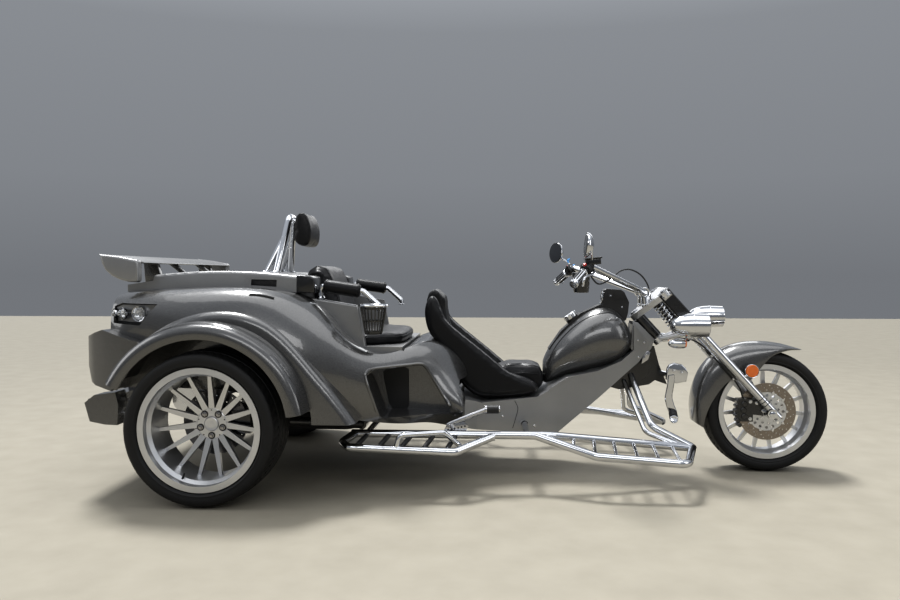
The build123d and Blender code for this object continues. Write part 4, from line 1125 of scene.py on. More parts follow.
def control_hoses():
    """The arched cable from the near control and the brake hose behind the near leg."""
    hose, clips = forms(2)
    leg = [in_fork(*point) for point in LEG_HOSE]
    hose.tube(curved(BAR_HOSE, 6), HOSE_R, 10)
    hose.tube(curved(leg, 6), HOSE_R, 10)
    for spot in (leg[3], leg[5]):
        clips.turn([(-0.006, HOSE_R + 0.0022), (0.006, HOSE_R + 0.0022)], spot, UPWARD, 16)
    for spot, toward in ((BAR_HOSE[0], (-0.2, 0, 1)), (BAR_HOSE[-1], (0, 0, 1)),
                         (leg[0], UPWARD), (leg[-1], UPWARD)):
        clips.turn([(-0.011, HOSE_R + 0.001), (-0.009, HOSE_R + 0.0026),
                    (0.009, HOSE_R + 0.0026), (0.011, HOSE_R + 0.001)], spot, toward, 16)
    piece(hose, "control_hoses", GRIP, "fork")
    piece(clips, "hose_ends", CHROME, "fork")


LAMP_SHELL = [(0.0, 0.003), (0.0, 0.012), (0.006, 0.024), (0.02, 0.038), (0.045, 0.05),
              (0.08, 0.0575), (0.11, 0.0595), (0.178, 0.0575)]
LAMP_LENGTH = LAMP_SHELL[-1][0]
SIGNAL_SHELL = [(0.0, 0.003), (0.002, 0.008), (0.01, 0.0155), (0.026, 0.0225),
                (0.05, 0.0255), (0.074, 0.024), (0.08, 0.022)]
SIGNAL_LENGTH = SIGNAL_SHELL[-1][0]
# Side, x, y and z of each headlamp's tail end
HEADLAMPS = [(-1, 0.97, 0.2, 0.7585), (1, 1.155, 0.2, 0.781)]
STALK_Y = 0.147
STALK_UP = 0.56


def front_lamps():
    """Bullet headlamps and signals on their stalks, with glass and reflectors."""
    shells, glass, bulbs, amber, stalks = forms(5)
    forward = (1, 0, 0)
    for side, x, y, z in HEADLAMPS:
        tail = Vector((x, side * y, z))
        face = tail + Vector((LAMP_LENGTH, 0, 0))
        shells.turn(LAMP_SHELL, tail, forward, 64)
        shells.hoop([(-0.014, 0.0575), (0.004, 0.0575), (0.0065, 0.0545), (0.006, 0.0515),
                     (-0.001, 0.0515), (-0.014, 0.0545)], face, forward, 64)
        shells.hoop(flat_ring(0.0015, 0.0588, 0.0605), tail + Vector((0.112, 0, 0)), forward, 64)
        glass.turn([(0.0002, 0.0515), (0.004, 0.051), (0.009, 0.0455), (0.0135, 0.034),
                    (0.016, 0.019), (0.0168, 0.004)], face, forward, 48)
        bulbs.turn([(0.0003, 0.012), (0.006, 0.012), (0.009, 0.009), (0.0105, 0.002)], face,
                   forward, 24)
        stalks.tube([tail + Vector((0.09, 0, -0.05)), tail + Vector((0.088, 0, -0.072)),
                     in_fork(LEG_AHEAD, side * STALK_Y, STALK_UP)], 0.009, 16)
        stalks.turn([(-0.012, 0.016), (0.004, 0.016), (0.01, 0.011)],
                    tail + Vector((0.09, 0, -0.06)), (0, 0, -1), 24)
    for side in (-1, 1):
        out = (0, side, 0)
        tail = Vector((0.963, side * 0.19, 0.666))
        shells.turn(SIGNAL_SHELL, tail, forward, 48)
        amber.turn([(0.0002, 0.0205), (0.004, 0.0198), (0.008, 0.0165), (0.0105, 0.0105),
                    (0.0115, 0.002)], tail + Vector((SIGNAL_LENGTH, 0, 0)), forward, 32)
        stalks.tube([tail + Vector((0.055, side * -0.004, -0.02)),
                     in_fork(LEG_AHEAD, side * STALK_Y, STALK_UP)], 0.007, 14)
        dish = Vector((1.39, side * 0.142, 0.526))
        stalks.turn([(-0.014, 0.02), (-0.012, 0.032), (0.0, 0.032)], dish, out, 48)
        stalks.tube([in_fork(LEG_AHEAD, side * 0.136, 0.227), dish], 0.006, 14)
        amber.turn([(0.0002, 0.0315), (0.004, 0.0312), (0.0065, 0.0285), (0.0072, 0.004)],
                   dish, out, 48)
        shells.hoop([(-0.004, 0.0322), (0.003, 0.0322), (0.0035, 0.0335), (0.0025, 0.0345),
                     (-0.004, 0.0345)], dish, out, 48)
    piece(shells, "lamp_shells", CHROME, "fork", ("front_lamps",))
    piece(stalks, "lamp_stalks", CHROME, "fork", ("front_lamps",))
    piece(glass, "headlamp_glass", GLASS, "fork")
    piece(bulbs, "headlamp_bulbs", CHROME, "fork")
    piece(amber, "amber_lenses", AMBER, "fork")


# Centre of the glass and the direction away from the rider
MIRRORS = [(-1, (0.524, -0.445, 1.148), (1, 0, -0.1)),
           (1, (0.452, 0.445, 1.138), (1, 0.6, -0.1))]
MIRROR_STEPS = 56


def mirrors():
    """Two round mirrors, each set in its own direction, on bent stems."""
    shells, glass, rim = forms(3)
    for side, centre, away in MIRRORS:
        centre = Vector(centre)
        away = Vector(away).normalized()
        shells.turn([(0.0, 0.0585), (0.004, 0.0592), (0.012, 0.0565), (0.022, 0.047),
                     (0.031, 0.03), (0.0365, 0.012), (0.037, 0.002)], centre, away, MIRROR_STEPS)
        glass.turn([(0.0002, 0.0565), (0.0014, 0.0565), (0.0022, 0.052), (0.0024, 0.01)],
                   centre, -away, MIRROR_STEPS)
        angles = [360 * i / MIRROR_STEPS for i in range(MIRROR_STEPS)]
        rim.tube([centre - away * 0.0006 + spoke * 0.0578
                  for spoke in spokes(away, angles, (0, 1, 0))], 0.0018, 8, True)
        hub = centre + away * 0.026 + Vector((0, 0, -0.022))
        foot = Vector((0.54, side * 0.39, 1.052))
        shells.tube(curved([foot, foot.lerp(hub, 0.4) + Vector((0.012, 0, 0.0)), hub], 6),
                    0.0048, 12)
        shells.turn([(-0.008, 0.009), (0.01, 0.009), (0.014, 0.006)], foot, hub - foot, 20)
    piece(shells, "mirror_shells", CHROME, "fork", ("mirrors",))
    piece(glass, "mirror_glass", MIRROR, "fork")
    piece(rim, "mirror_rims", GLOSS_BLACK, "fork")


BAR_R = 0.015
BAR_FOOT = Vector((0.868, 0.095, 0.918))
RISER_Y = 0.06


def handlebar():
    """One long bar pulled back to the grips, held in clamps on two risers."""
    bar, risers = forms(2)
    right = [flipped(point, -1) for point in (GRIP_TIP, BAR_BEND, BAR_FOOT)]
    bar.tube(rounded(right + [BAR_FOOT, BAR_BEND, GRIP_TIP], 0.05), BAR_R, 24)
    for side in (-1, 1):
        low = in_fork(0.062, side * RISER_Y, 0.812)
        middle = Vector((BAR_FOOT.x, side * RISER_Y, BAR_FOOT.z))
        risers.turn([(-0.004, 0.021), (0.006, 0.021), (0.01, 0.017),
                     ((middle - low).length - 0.012, 0.016)], low, middle - low, 32)
        risers.hoop([(-0.02, 0.0145), (0.02, 0.0145), (0.022, 0.018), (0.022, 0.024),
                     (0.019, 0.0265), (-0.019, 0.0265), (-0.022, 0.024), (-0.022, 0.018)],
                    middle, (0, 1, 0), 40)
        for k in (-0.011, 0.011):
            risers.bolt(middle + Vector((0, k, 0)) + UPWARD * 0.025 + AHEAD * 0.004, UPWARD,
                        0.0045, 0.005)
    piece(bar, "bar_tube", CHROME, "fork", ("handlebar",))
    piece(risers, "bar_risers", CHROME, "fork", ("handlebar",))


CAN = Vector((0.511, -0.372, 0))
STRIP_RING = 0.0192
# Shares of the way from the bend to the tip: where the grip begins and where the switches are
GRIP_START = 0.36
SWITCH_PLACE = 0.16


def reservoir_form():
    """The near brake reservoir and the oil can below it."""
    reservoir = Form()
    reservoir.plate([(0.528, 1.052), (0.6, 1.06), (0.598, 1.088), (0.526, 1.08)], -0.415,
                    -0.372, 0.005, 3)
    reservoir.plate([(0.523, 1.08), (0.604, 1.088), (0.603, 1.095), (0.522, 1.087)], -0.419,
                    -0.368, 0.002, 2)
    reservoir.turn([(0.924, 0.03), (0.925, 0.0345), (0.932, 0.036), (0.985, 0.0395),
                    (0.992, 0.0425), (1.012, 0.044), (1.02, 0.043), (1.021, 0.038)],
                   CAN, (0, 0, 1), 48)
    for rib in spokes((0, 0, 1), range(0, 360, 30)):
        reservoir.tube([CAN + Vector((0, 0, 0.936)) + rib * 0.0355,
                        CAN + Vector((0, 0, 0.98)) + rib * 0.0388], 0.0016, 6)
    return reservoir


def grips():
    """Chrome grips with rubber strips, the switches, the hand levers and the reservoir."""
    sleeves, strips, switches, red = forms(4)
    for side in (-1, 1):
        bend, tip = flipped(BAR_BEND, side), flipped(GRIP_TIP, side)
        run = tip - bend
        along = run.normalized()
        start = bend + run * GRIP_START
        reach = run.length * (1 - GRIP_START)
        sleeves.turn([(0, 0.0185), (0.004, 0.0225), (0.008, 0.0225), (0.01, 0.0192),
                      (reach - 0.012, 0.0192), (reach - 0.01, 0.0218), (reach + 0.002, 0.0218),
                      (reach + 0.006, 0.019), (reach + 0.007, 0.004)], start, along, 40)
        for spoke in spokes(run, range(0, 360, 40)):
            level = start + spoke * STRIP_RING
            strips.tube([level + along * 0.016, level + along * 0.019,
                         level + along * (reach - 0.022), level + along * (reach - 0.019)],
                        [0.0015, 0.0036, 0.0036, 0.0015], 8)
        box = bend + run * SWITCH_PLACE
        switches.turn([(-0.022, 0.022), (-0.019, 0.0285), (-0.002, 0.029), (-0.001, 0.0275),
                       (0.001, 0.0275), (0.002, 0.029), (0.019, 0.0285), (0.022, 0.022)],
                      box, along, 36)
        for k in (-0.012, 0.012):
            switches.bolt(box + along * k + Vector((0.0, side * 0.028, 0)), (0, side, 0),
                          0.004, 0.003)
        red.turn([(0.024, 0.008), (0.033, 0.008), (0.036, 0.006)], box + along * 0.008,
                 (-0.3, side * 0.6, 0.75), 20)
        switches.turn([(0.024, 0.008), (0.034, 0.0075), (0.036, 0.005)], box - along * 0.012,
                      (-0.9, -side * 0.3, 0.3), 20)
        lever = [bend + Vector((-0.01, side * -0.01, 0.012)),
                 bend + Vector((0.02, side * 0.03, -0.03)),
                 tip + Vector((0.05, side * 0.01, 0.03)),
                 tip + Vector((0.04, side * 0.015, -0.01))]
        sleeves.tube(curved(lever, 6), 0.0055, 12)
    piece(sleeves, "grip_sleeves", CHROME, "fork", ("hand_controls",))
    piece(strips, "grip_strips", GRIP, "fork")
    piece(switches, "switch_housings", BLACK, "fork", ("hand_controls",))
    piece(reservoir_form(), "brake_reservoir", GLOSS_BLACK, "fork",
          ("hand_controls",))
    piece(red, "switch_buttons", RED, "fork")


def blue_cover():
    """The blue cover beside the far grip and its short pipe."""
    blue = Form()
    blue.plate([(0.52, 1.03), (0.562, 1.034), (0.56, 1.07), (0.525, 1.064)], 0.4, 0.428, 0.006,
               3)
    blue.tube(curved([(0.536, 0.414, 1.06), (0.52, 0.42, 1.09), (0.532, 0.424, 1.102)], 4),
              0.005, 10)
    piece(blue, "blue_cover", BLUE, "fork")


def caliper_pots():
    """Pot caps, a row of fins and bolts on the front caliper."""
    pots, bolts = forms(2)
    for i in range(3):
        spot = Vector((1.365 + 0.004 * abs(i - 1), -0.098, 0.288 + 0.032 * i))
        pots.turn([(-0.002, 0.015), (0.005, 0.015), (0.008, 0.012), (0.0085, 0.003)], spot,
                  RIGHT, 28)
    for spoke in spokes(RIGHT, range(160, 214, 9)):
        pots.turn([(-0.022, 0.0085), (-0.02, 0.0105), (0.02, 0.0105), (0.022, 0.0085)],
                  FRONT_AXLE + spoke * 0.158 + Vector((0, -0.078, 0)), (0, 1, 0), 16)
    for x, z in ((1.398, 0.276), (1.398, 0.364), (1.43, 0.358), (1.462, 0.318)):
        bolts.bolt((x, -0.0985, z), RIGHT, 0.006, 0.006)
    piece(pots, "caliper_pots", GLOSS_BLACK, "fork")
    piece(bolts, "caliper_bolts", CHROME, "fork")


fender()
spring()
fork_details()
control_hoses()
front_lamps()
mirrors()
handlebar()
grips()
blue_cover()
caliper_pots()


# Body: seams, vents, recess rims with painted shade, arch liners and lamps

# Where the flares begin and end, in degrees round the axle
FLARE_START = 9.5
FLARE_END = 153.5
SLOT = [(-1.006, 0.92), (-0.975, 0.9185), (-0.935, 0.912), (-0.898, 0.902)]
SPINE_SEAM = [(0.2, 0.378), (0.216, 0.34), (0.205, 0.29), (0.19, 0.24)]


def arch_liners():
    """Black liners inside the flares."""
    liners = Form()
    for side, start, end in ((-1, FLARE_START, FLARE_END), (1, -FLARE_END, -FLARE_START)):
        liners.hoop([(0.5765, 0.4505), (0.775, 0.4505), (0.846, 0.437), (0.846, 0.4345),
                     (0.775, 0.448), (0.5765, 0.448)], REAR_AXLE, (0, side, 0), 72, start, end)
    piece(liners, "arch_liners", BLACK, "chassis")


def seams():
    """Dark seams that follow the spine where panels meet, and the slots beside the vents."""
    dark, slots = forms(2)
    for side in (-1, 1):
        slots.tube(curved(along_side("rear_body", SLOT, side, 0.0002), 5), 0.0068, 8)
        dark.tube(curved(along_side("spine_cover", SPINE_SEAM, side, -0.0008), 5), 0.0018, 6)
    piece(slots, "body_slots", BLACK, "chassis")
    piece(dark, "panel_seams", BLACK, "chassis")


RECESS_EDGE = [(-0.437, 0.372), (-0.468, 0.478), (-0.484, 0.535), (-0.478, 0.556),
               (-0.458, 0.57), (-0.4, 0.5745), (-0.3, 0.5795), (-0.25, 0.5815),
               (-0.232, 0.567), (-0.19, 0.5), (-0.14, 0.418), (-0.116, 0.378), (-0.12, 0.352)]
# The back of each recess, drawn as a black plate: painted shade
RECESS_SHADE = [(-0.452, 0.5), (-0.454, 0.527), (-0.44, 0.54), (-0.345, 0.551), (-0.326, 0.54),
               (-0.325, 0.36), (-0.345, 0.334), (-0.4, 0.334), (-0.426, 0.372)]
RIM_OUTWARD = 0.006


def recess_painted_shade():
    """Painted rolled rims round the foot recesses, and a black plate at their back that is painted
    shade of the recess.
    """
    rolled, shade_plate = forms(2)
    edge = [(x + (-0.008 if x < -0.4 or z > 0.568 else RIM_OUTWARD), z + RIM_OUTWARD)
            for x, z in RECESS_EDGE]
    for side in (-1, 1):
        rolled.tube(curved(along_side("rear_body", edge, side, -0.004), 4), 0.0085, 10)
        # A black plate at the back of the recess: painted shade
        shade_plate.side_plate(RECESS_SHADE, side, 0.2855, 0.2885, 0.001, 1)
    piece(rolled, "recess_rims", PAINT, "chassis")
    piece(shade_plate, "recess_painted_shade", BLACK, "chassis")


# x, z and radius of each lamp, and how far it faces the rear
LAMP_ROW = [(-1.628, 0.832, 0.023, 0.9), (-1.588, 0.831, 0.0275, 0.5),
            (-1.522, 0.83, 0.0345, 0.15)]
LAMP_BACK = [(-1.635, 0.793), (-1.642, 0.863), (-1.608, 0.877), (-1.427, 0.873),
             (-1.501, 0.783)]
LAMP_BACK_Y = 0.629


def scaled(profile, radius):
    """A profile whose radii are given as shares of a radius."""
    return [(along, radius * share) for along, share in profile]


def tail_lamps():
    """Three chrome bowls a side, each under its own glass, on a body-coloured back."""
    backs, bowls, bulbs, glass, edges = forms(5)
    for side in (-1, 1):
        backs.side_plate(LAMP_BACK, side, LAMP_BACK_Y - 0.006, LAMP_BACK_Y, 0.001, 1)
        for x, z, radius, rearward in LAMP_ROW:
            out = Vector((-rearward, side, 0)).normalized()
            foot = Vector((x, side * (LAMP_BACK_Y - 0.004), z))
            bowls.hoop(scaled([(0.0, 0.92), (0.022, 0.96), (0.026, 1), (0.029, 0.99),
                               (0.028, 0.92), (0.018, 0.84), (0.009, 0.62), (0.005, 0.3),
                               (0.0, 0.28)], radius), foot, out, 48)
            bulbs.turn(scaled([(0.003, 0.3), (0.012, 0.28), (0.017, 0.2), (0.019, 0.05)],
                              radius), foot, out, 24)
            glass.turn(scaled([(0.0265, 0.9), (0.03, 0.84), (0.034, 0.55), (0.0355, 0.1)],
                              radius), foot, out, 40)
        line = [(x, side * (LAMP_BACK_Y + 0.0005), z) for x, z in inset(LAMP_BACK, 0.002)]
        edges.tube(line, 0.0032, 6, True)
    piece(backs, "tail_lamp_backs", SATIN, "chassis", ("tail_lamps",))
    piece(bowls, "tail_lamp_bowls", CHROME, "chassis", ("tail_lamps",))
    piece(bulbs, "tail_lamp_bulbs", POLISHED, "chassis")
    piece(glass, "tail_lamp_glass", GLASS, "chassis")
    piece(edges, "tail_lamp_edges", BLACK, "chassis")


VENT = [(-1.0505, 0.9862), (-0.9315, 0.9832), (-0.9335, 0.9535), (-1.0535, 0.9615)]
# The deck's end by the bench, drawn gloss black: painted shade of its front face, partly the
# backrest's own black side
DECK_SHADE_END = [(-0.837, 0.9235), (-0.837, 1.008), (-0.768, 1.0035), (-0.753, 0.995),
            (-0.7495, 0.98), (-0.7495, 0.9235)]


def deck_trim():
    """Black fillings of the deck's vents, and gloss black ends of the deck by the bench: painted
    shade of its front face, partly the black side of the backrest beside it.
    """
    fillings, ends = forms(2)
    for side in (-1, 1):
        fillings.side_plate(VENT, side, 0.469, 0.4825, 0.002, 2)
        for i in range(4):
            x = -1.03 + 0.026 * i
            fillings.side_plate([(x, 0.964), (x + 0.018, 0.963), (x + 0.018, 0.98), (x, 0.981)],
                                side, 0.48, 0.4845, 0.001, 1)
        # A gloss black plate over the deck's end: painted shade
        ends.side_plate(DECK_SHADE_END, side, 0.3435, 0.4925, 0.006, 3)
    piece(fillings, "vent_fillings", BLACK, "chassis")
    piece(ends, "deck_ends_painted_shade", GLOSS_BLACK, "chassis")


SPOILER_END = [(-1.733, 1.106), (-1.64, 1.0955), (-1.553, 1.078), (-1.545, 1.068),
               (-1.548, 0.982), (-1.558, 0.974), (-1.596, 0.976), (-1.64, 0.988),
               (-1.677, 1.006), (-1.705, 1.032), (-1.721, 1.062)]
BLADE = [(-1.733, 1.104), (-1.69, 1.102), (-1.64, 1.096), (-1.585, 1.085), (-1.54, 1.071),
         (-1.533, 1.066), (-1.545, 1.062), (-1.6, 1.068), (-1.67, 1.079), (-1.728, 1.093)]
# Outline in the side view, near and far distance from the middle
PYLONS = [([(-1.64, 1.078), (-1.57, 1.068), (-1.542, 0.982), (-1.63, 0.968)], 0.33, 0.36),
          ([(-1.6, 1.072), (-1.548, 1.064), (-1.49, 1.0125), (-1.52, 1.009)], 0.16, 0.18)]


def spoiler():
    """A thin blade between two deep rounded ends, on painted pylons."""
    blade, pylons = forms(2)
    blade.plate(BLADE, -0.572, 0.572, 0.0015, 2)
    for side in (-1, 1):
        blade.side_plate(SPOILER_END, side, 0.56, 0.61, 0.013, 5)
        for outline, near, far in PYLONS:
            pylons.side_plate(outline, side, near, far, 0.004, 3)
    piece(blade, "spoiler_blade", SATIN, "boot_lid", ("spoiler",))
    piece(pylons, "spoiler_pylons", PAINT, "boot_lid", ("spoiler",))


arch_liners()
seams()
recess_painted_shade()
tail_lamps()
deck_trim()
spoiler()


# Tank, console and spine

TANK_EDGE = [(0.372, 0.47), (0.37, 0.52), (0.385, 0.58), (0.43, 0.66), (0.5, 0.735),
             (0.575, 0.788), (0.65, 0.812), (0.712, 0.808), (0.758, 0.77), (0.785, 0.715),
             (0.78, 0.655), (0.745, 0.61), (0.69, 0.578), (0.62, 0.556), (0.53, 0.535),
             (0.45, 0.51), (0.4, 0.476)]


def tank_trim():
    """The black strip round each side of the tank, and the ribbed filler cap."""
    strip, cap = forms(2)
    for side in (-1, 1):
        strip.tube(curved(along_side("tank", TANK_EDGE, side, -0.0012), 4, True), 0.0042, 8, True)
    base, up = Vector((0.52, 0, 0.76)), Vector((-0.026, 0, 0.036)).normalized()
    cap.turn([(0.03, 0.036), (0.05, 0.0365), (0.054, 0.034), (0.056, 0.029), (0.0555, 0.012),
              (0.056, 0.002)], base, up, 48)
    for spoke in spokes(up, range(0, 360, 15)):
        spot = base + spoke * 0.0362
        cap.tube([spot + up * 0.034, spot + up * 0.049], 0.0013, 6)
    piece(strip, "tank_strips", BLACK, "chassis")
    piece(cap, "filler_cap", CHROME, "chassis")


def tank_gauge():
    """The gauge on the console: a bright rim, a dark dial, plain marks and a hand."""
    gauge, dial, marks = forms(3)
    face = Vector((0.6615, 0, 0.89))
    out = Vector((-1, 0, 0.12)).normalized()
    gauge.hoop([(-0.002, 0.03), (0.004, 0.03), (0.0055, 0.032), (0.004, 0.0345),
                (-0.002, 0.0345)], face, out, 48)
    dial.turn([(-0.001, 0.0302), (0.0008, 0.0302)], face, out, 48)
    above = face + out * 0.001
    angles = [-40 + 260 * i / 12 for i in range(13)]
    for i, ray in enumerate(spokes(out, angles, (0, 1, 0))):
        marks.tube([above + ray * (0.022 if i % 3 == 0 else 0.0245), above + ray * 0.028],
                   0.0007, 6)
    hand = face + out * 0.0016
    marks.tube([hand, hand + Vector((0, 0.012, 0.016))], 0.0009, 6)
    marks.turn([(0.0008, 0.003), (0.0025, 0.0026)], face, out, 16)
    piece(gauge, "gauge_rim", CHROME, "chassis")
    piece(dial, "gauge_dial", BLACK, "chassis")
    piece(marks, "gauge_marks", PALE, "chassis")


SPINE_BOLTS = [(0.835, 0.672), (0.838, 0.585), (0.868, 0.66), (0.14, 0.3), (0.3, 0.25)]
CONSOLE_SCREWS = [(0.7, 0.9), (0.76, 0.84)]
CHEEK = [(0.8, 0.63), (0.84, 0.563), (0.884, 0.603), (0.906, 0.628), (0.923, 0.677),
         (0.838, 0.762), (0.812, 0.768)]
CLAMP = [(0.855, 0.548), (0.89, 0.572), (0.902, 0.612), (0.885, 0.618), (0.862, 0.588)]


def spine_fittings():
    """Bolts of the spine cover, the clamp at its nose and the console's screws."""
    bolts, clamp, cheeks = forms(3)
    for side in (-1, 1):
        out = (0, side, 0)
        for x, z in SPINE_BOLTS:
            place, normal = on_side("spine_cover", x, z, side)
            bolts.turn([(-0.001, 0.006), (0.0012, 0.006), (0.003, 0.0045), (0.0034, 0.001)],
                       place, normal, 16)
        for x, z in CONSOLE_SCREWS:
            bolts.turn([(-0.001, 0.0045), (0.0012, 0.0045), (0.0022, 0.0035)],
                       (x, side * 0.0405, z), out, 14)
        cheeks.side_plate(CHEEK, side, 0.054, 0.0625, 0.003, 3)
        clamp.side_plate(CLAMP, side, 0.06, 0.068, 0.002, 2)
        clamp.bolt((0.88, side * 0.068, 0.594), out, 0.006, 0.005)
    piece(bolts, "spine_bolts", CHROME, "chassis")
    piece(cheeks, "spine_cheeks", SATIN, "chassis")
    piece(clamp, "neck_clamp", POLISHED, "chassis")


# Cup holder, levers and footboards

CUP = Vector((-0.467, -0.508, 0))


def cup_basket():
    """A slotted black basket under a bright ring."""
    basket, ring = forms(2)
    up = (0, 0, 1)
    basket.turn([(0.731, 0.038), (0.7325, 0.041), (0.736, 0.0412), (0.737, 0.039)], CUP, up, 40)
    for low, high, radius in ((0.737, 0.746, 0.0405), (0.79, 0.797, 0.0487),
                              (0.848, 0.862, 0.059)):
        grow = (high - low) * 0.155
        basket.hoop([(low, radius), (high, radius + grow), (high, radius + grow - 0.003),
                     (low, radius - 0.003)], CUP, up, 48)
    for spoke in spokes(up, range(0, 360, 18)):
        low = CUP + spoke * 0.0395 + Vector((0, 0, 0.738))
        high = CUP + spoke * 0.0595 + Vector((0, 0, 0.858))
        basket.tube([low, low.lerp(high, 0.5), high], 0.0032, 6)
    ring.hoop([(0.8585, 0.0585), (0.8585, 0.068), (0.862, 0.0715), (0.867, 0.072),
               (0.8715, 0.069), (0.8718, 0.062), (0.869, 0.058)], CUP, up, 64)
    ring.tube([(-0.472, -0.444, 0.867), (-0.458, -0.428, 0.852)], 0.006, 10)
    ring.hoop(flat_ring(0.008, 0.0142, 0.018), (-0.452, -0.423, 0.848), up, 24)
    piece(basket, "cup_basket", GLOSS_BLACK, "chassis", ("cup_holder",))
    piece(ring, "cup_ring", CHROME, "chassis")


HOOP_R = 0.019
HOOP_FOOT = Vector((-1.039, 0.141, 1.005))
HOOP_TOP = Vector((-0.991, 0.046, 1.314))
BRACE_FOOT = Vector((-1.096, 0.141, 1.005))


def headrest_hoop():
    """A chrome hoop with a brace behind each leg and two rods to the headrest."""
    hoop = Form()
    right = [flipped(HOOP_FOOT, -1), flipped(HOOP_TOP, -1)]
    hoop.tube(rounded(right + [HOOP_TOP, HOOP_FOOT], 0.036, 8), HOOP_R, 28)
    joint = HOOP_FOOT.lerp(HOOP_TOP, 0.68)
    for side in (-1, 1):
        hoop.tube([flipped(BRACE_FOOT, side), flipped(joint, side)], 0.0148, 24)
        hoop.tube([(-0.988, side * 0.025, 1.313), (-0.93, side * 0.025, 1.268)], 0.008, 16)
    piece(hoop, "hoop_tubes", CHROME, "chassis", ("headrest_bar",))


def tube_feet():
    """Round feet and bolts where the armrest tubes and the hoop stand on the panels."""
    feet = Form()
    up = (0, 0, 1)
    for side in (-1, 1):
        for place, radius in (((-0.735, side * 0.423, 0.8965), 0.021),
                              ((-0.452, side * 0.423, 0.836), 0.018)):
            feet.turn([(0, radius), (0.003, radius), (0.005, radius - 0.002), (0.012, 0.0155)],
                      place, up, 32)
        for foot, wide in ((HOOP_FOOT, 0.029), (BRACE_FOOT, 0.022)):
            foot = Vector((foot.x, side * foot.y, 1.0225))
            feet.turn([(-0.006, wide), (0.003, wide), (0.006, wide - 0.003),
                       (0.0075, wide - 0.007)], foot, up, 32)
            for spoke in spokes(up, (30, 150, 270)):
                feet.bolt(foot + spoke * (wide - 0.005) + Vector((0, 0, 0.004)), up, 0.0022,
                          0.002)
    piece(feet, "tube_feet", CHROME, "chassis")


PEDAL_BLOCK = [(0.962, 0.482), (0.967, 0.54), (0.978, 0.556), (1.002, 0.566), (1.04, 0.558),
               (1.06, 0.54), (1.07, 0.515), (1.062, 0.472), (1.012, 0.462)]
PEDAL_ARM = [(0.985, 0.505), (0.983, 0.468), (0.977, 0.43), (0.972, 0.392), (0.982, 0.352),
             (0.994, 0.322)]
PEDAL_SECTION = [(-1, -0.5), (-0.8, -1), (0.8, -1), (1, -0.5), (1, 0.5), (0.8, 1), (-0.8, 1),
                 (-1, 0.5)]
HAND_LEVER = [Vector((-0.122, -0.466, 0.3)), Vector((0.058, -0.466, 0.375)),
              Vector((0.121, -0.466, 0.377))]


def foot_pedal():
    """The brake pedal: a bright block, a curved flat arm and a ribbed peg."""
    metal, ribs = forms(2)
    metal.plate(PEDAL_BLOCK, -0.16, -0.134, 0.006, 4)
    metal.tube([(0.96, -0.03, 0.5), (1.0, -0.134, 0.5)], 0.014, 20)
    rings = []
    for point in curved([(x, -0.1665, z) for x, z in PEDAL_ARM], 5):
        wide = 0.02 - (point.z - 0.32) * 0.02
        rings.append([point + Vector((wide * a, 0.0065 * b, wide * a * 0.15))
                      for a, b in PEDAL_SECTION])
    metal.skin(rings)
    peg, foot = Vector((0.995, -0.162, 0.318)), Vector((0.972, -0.29, 0.306))
    metal.turn([(0.0, 0.014), (0.004, 0.0175), (0.124, 0.0175), (0.128, 0.0195),
                (0.132, 0.0195), (0.134, 0.017)], peg, foot - peg, 32)
    along = (foot - peg).normalized()
    for i in range(8):
        ribs.hoop([(-0.003, 0.017), (0.003, 0.017), (0.002, 0.0205), (-0.002, 0.0205)],
                  peg + along * (0.02 + 0.0125 * i), along, 32)
    for x, z in ((1.0, 0.525), (1.04, 0.515)):
        metal.bolt((x, -0.16, z), RIGHT, 0.008, 0.006)
    piece(metal, "pedal_metal", CHROME, "chassis", ("levers",))
    piece(ribs, "peg_ribs", GRIP, "chassis")


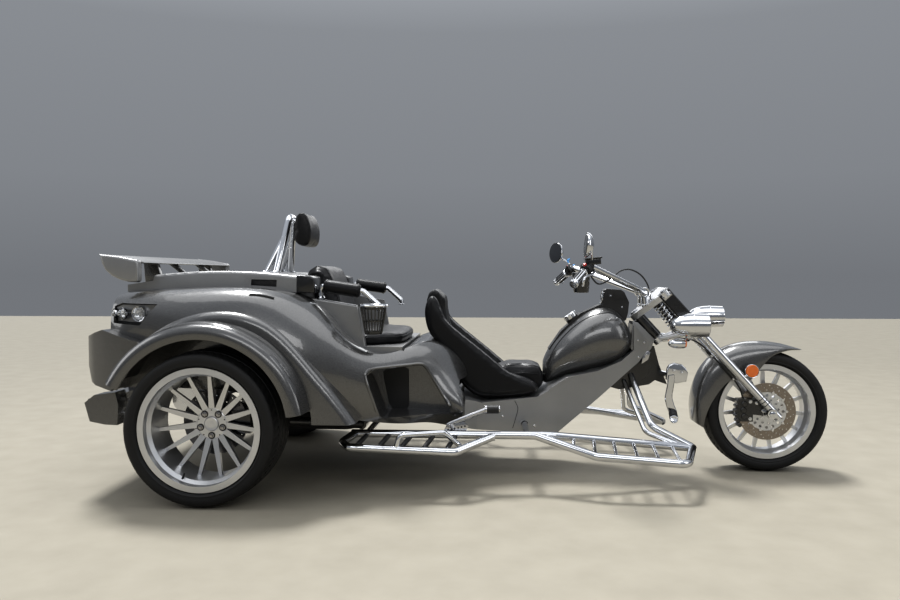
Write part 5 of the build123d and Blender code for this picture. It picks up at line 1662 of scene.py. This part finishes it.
def hand_lever():
    """The hand brake lever on its drilled quadrant beside the footboard."""
    metal, rubber, holes = forms(3)
    foot, wrist, tip = HAND_LEVER
    grip = tip - wrist
    metal.tube([foot, foot.lerp(wrist, 0.1), foot.lerp(wrist, 0.8), wrist],
               [0.0125, 0.0145, 0.0115, 0.011], 24)
    metal.turn([(-0.004, 0.013), (-0.002, 0.0205), (0.006, 0.0205), (0.008, 0.014)], wrist,
               grip, 32)
    metal.turn([(-0.001, 0.0175), (0.004, 0.0175), (0.007, 0.014), (0.008, 0.004)], tip, grip,
               32)
    metal.plate([(-0.145, 0.262), (-0.04, 0.262), (-0.022, 0.296), (-0.05, 0.318),
                 (-0.12, 0.312)], -0.462, -0.454, 0.001, 2)
    metal.turn([(0, 0.012), (0.042, 0.012)], (-0.1, -0.482, 0.296), (0, 1, 0), 24)
    rubber.turn([(0.002, 0.0165), (0.004, 0.0195), (grip.length - 0.004, 0.0195),
                 (grip.length - 0.001, 0.0165)], wrist, grip, 32)
    for i in range(6):
        holes.turn([(-0.0004, 0.0042), (0.0006, 0.0042)],
                   (-0.12 + 0.016 * i, -0.4625, 0.276 + 0.0035 * i), RIGHT, 16)
    piece(metal, "hand_lever", POLISHED, "chassis", ("levers",))
    piece(rubber, "lever_rubber", GRIP, "chassis")
    piece(holes, "lever_holes", BLACK, "chassis")


def footboard_fittings():
    """Dark sleeves on the rear rungs and caps on the ends of the rails."""
    treads, ends = forms(2)
    for side in (-1, 1):
        for i in range(5):
            x = -0.5 + 0.105 * i
            low = Vector((x, side * 0.49, 0.2555))
            high = Vector((x - 0.0375, side * 0.63, 0.2205))
            treads.tube([low.lerp(high, t) for t in (0.08, 0.1, 0.9, 0.92)],
                        [0.0095, 0.0112, 0.0112, 0.0095], 14)
        for x, y, z in ((-0.572, 0.48, 0.258), (0.1, 0.49, 0.252)):
            ends.turn([(-0.002, 0.0192), (0.003, 0.0192), (0.006, 0.015), (0.007, 0.003)],
                      (x, side * y, z), (-1, 0, 0), 28)
    piece(treads, "rung_rubbers", GRIP, "chassis")
    piece(ends, "rail_caps", CHROME, "chassis")


tank_trim()
tank_gauge()
spine_fittings()
cup_basket()
headrest_hoop()
tube_feet()
foot_pedal()
hand_lever()
footboard_fittings()


# Floor

FLOOR_HALF = 14
FLOOR_DROP = 0.0005


def pale_floor():
    """A large pale floor just under the wheels."""
    f = Finish("pale_floor", (0.62, 0.61, 0.59), 0.75)
    f.put("Base Color", f.tint(f.noise(6, 4), (0.235, 0.215, 0.17), (0.31, 0.285, 0.23)))
    mesh = bpy.data.meshes.new("floor")
    corners = [(x * FLOOR_HALF, y * FLOOR_HALF, 0)
               for x, y in ((-1, -1), (1, -1), (1, 1), (-1, 1))]
    mesh.from_pydata(corners, [], [(0, 1, 2, 3)])
    mesh.materials.append(f.material)
    floor = new_object("floor", mesh)
    floor.location.z = -FLOOR_DROP


pale_floor()
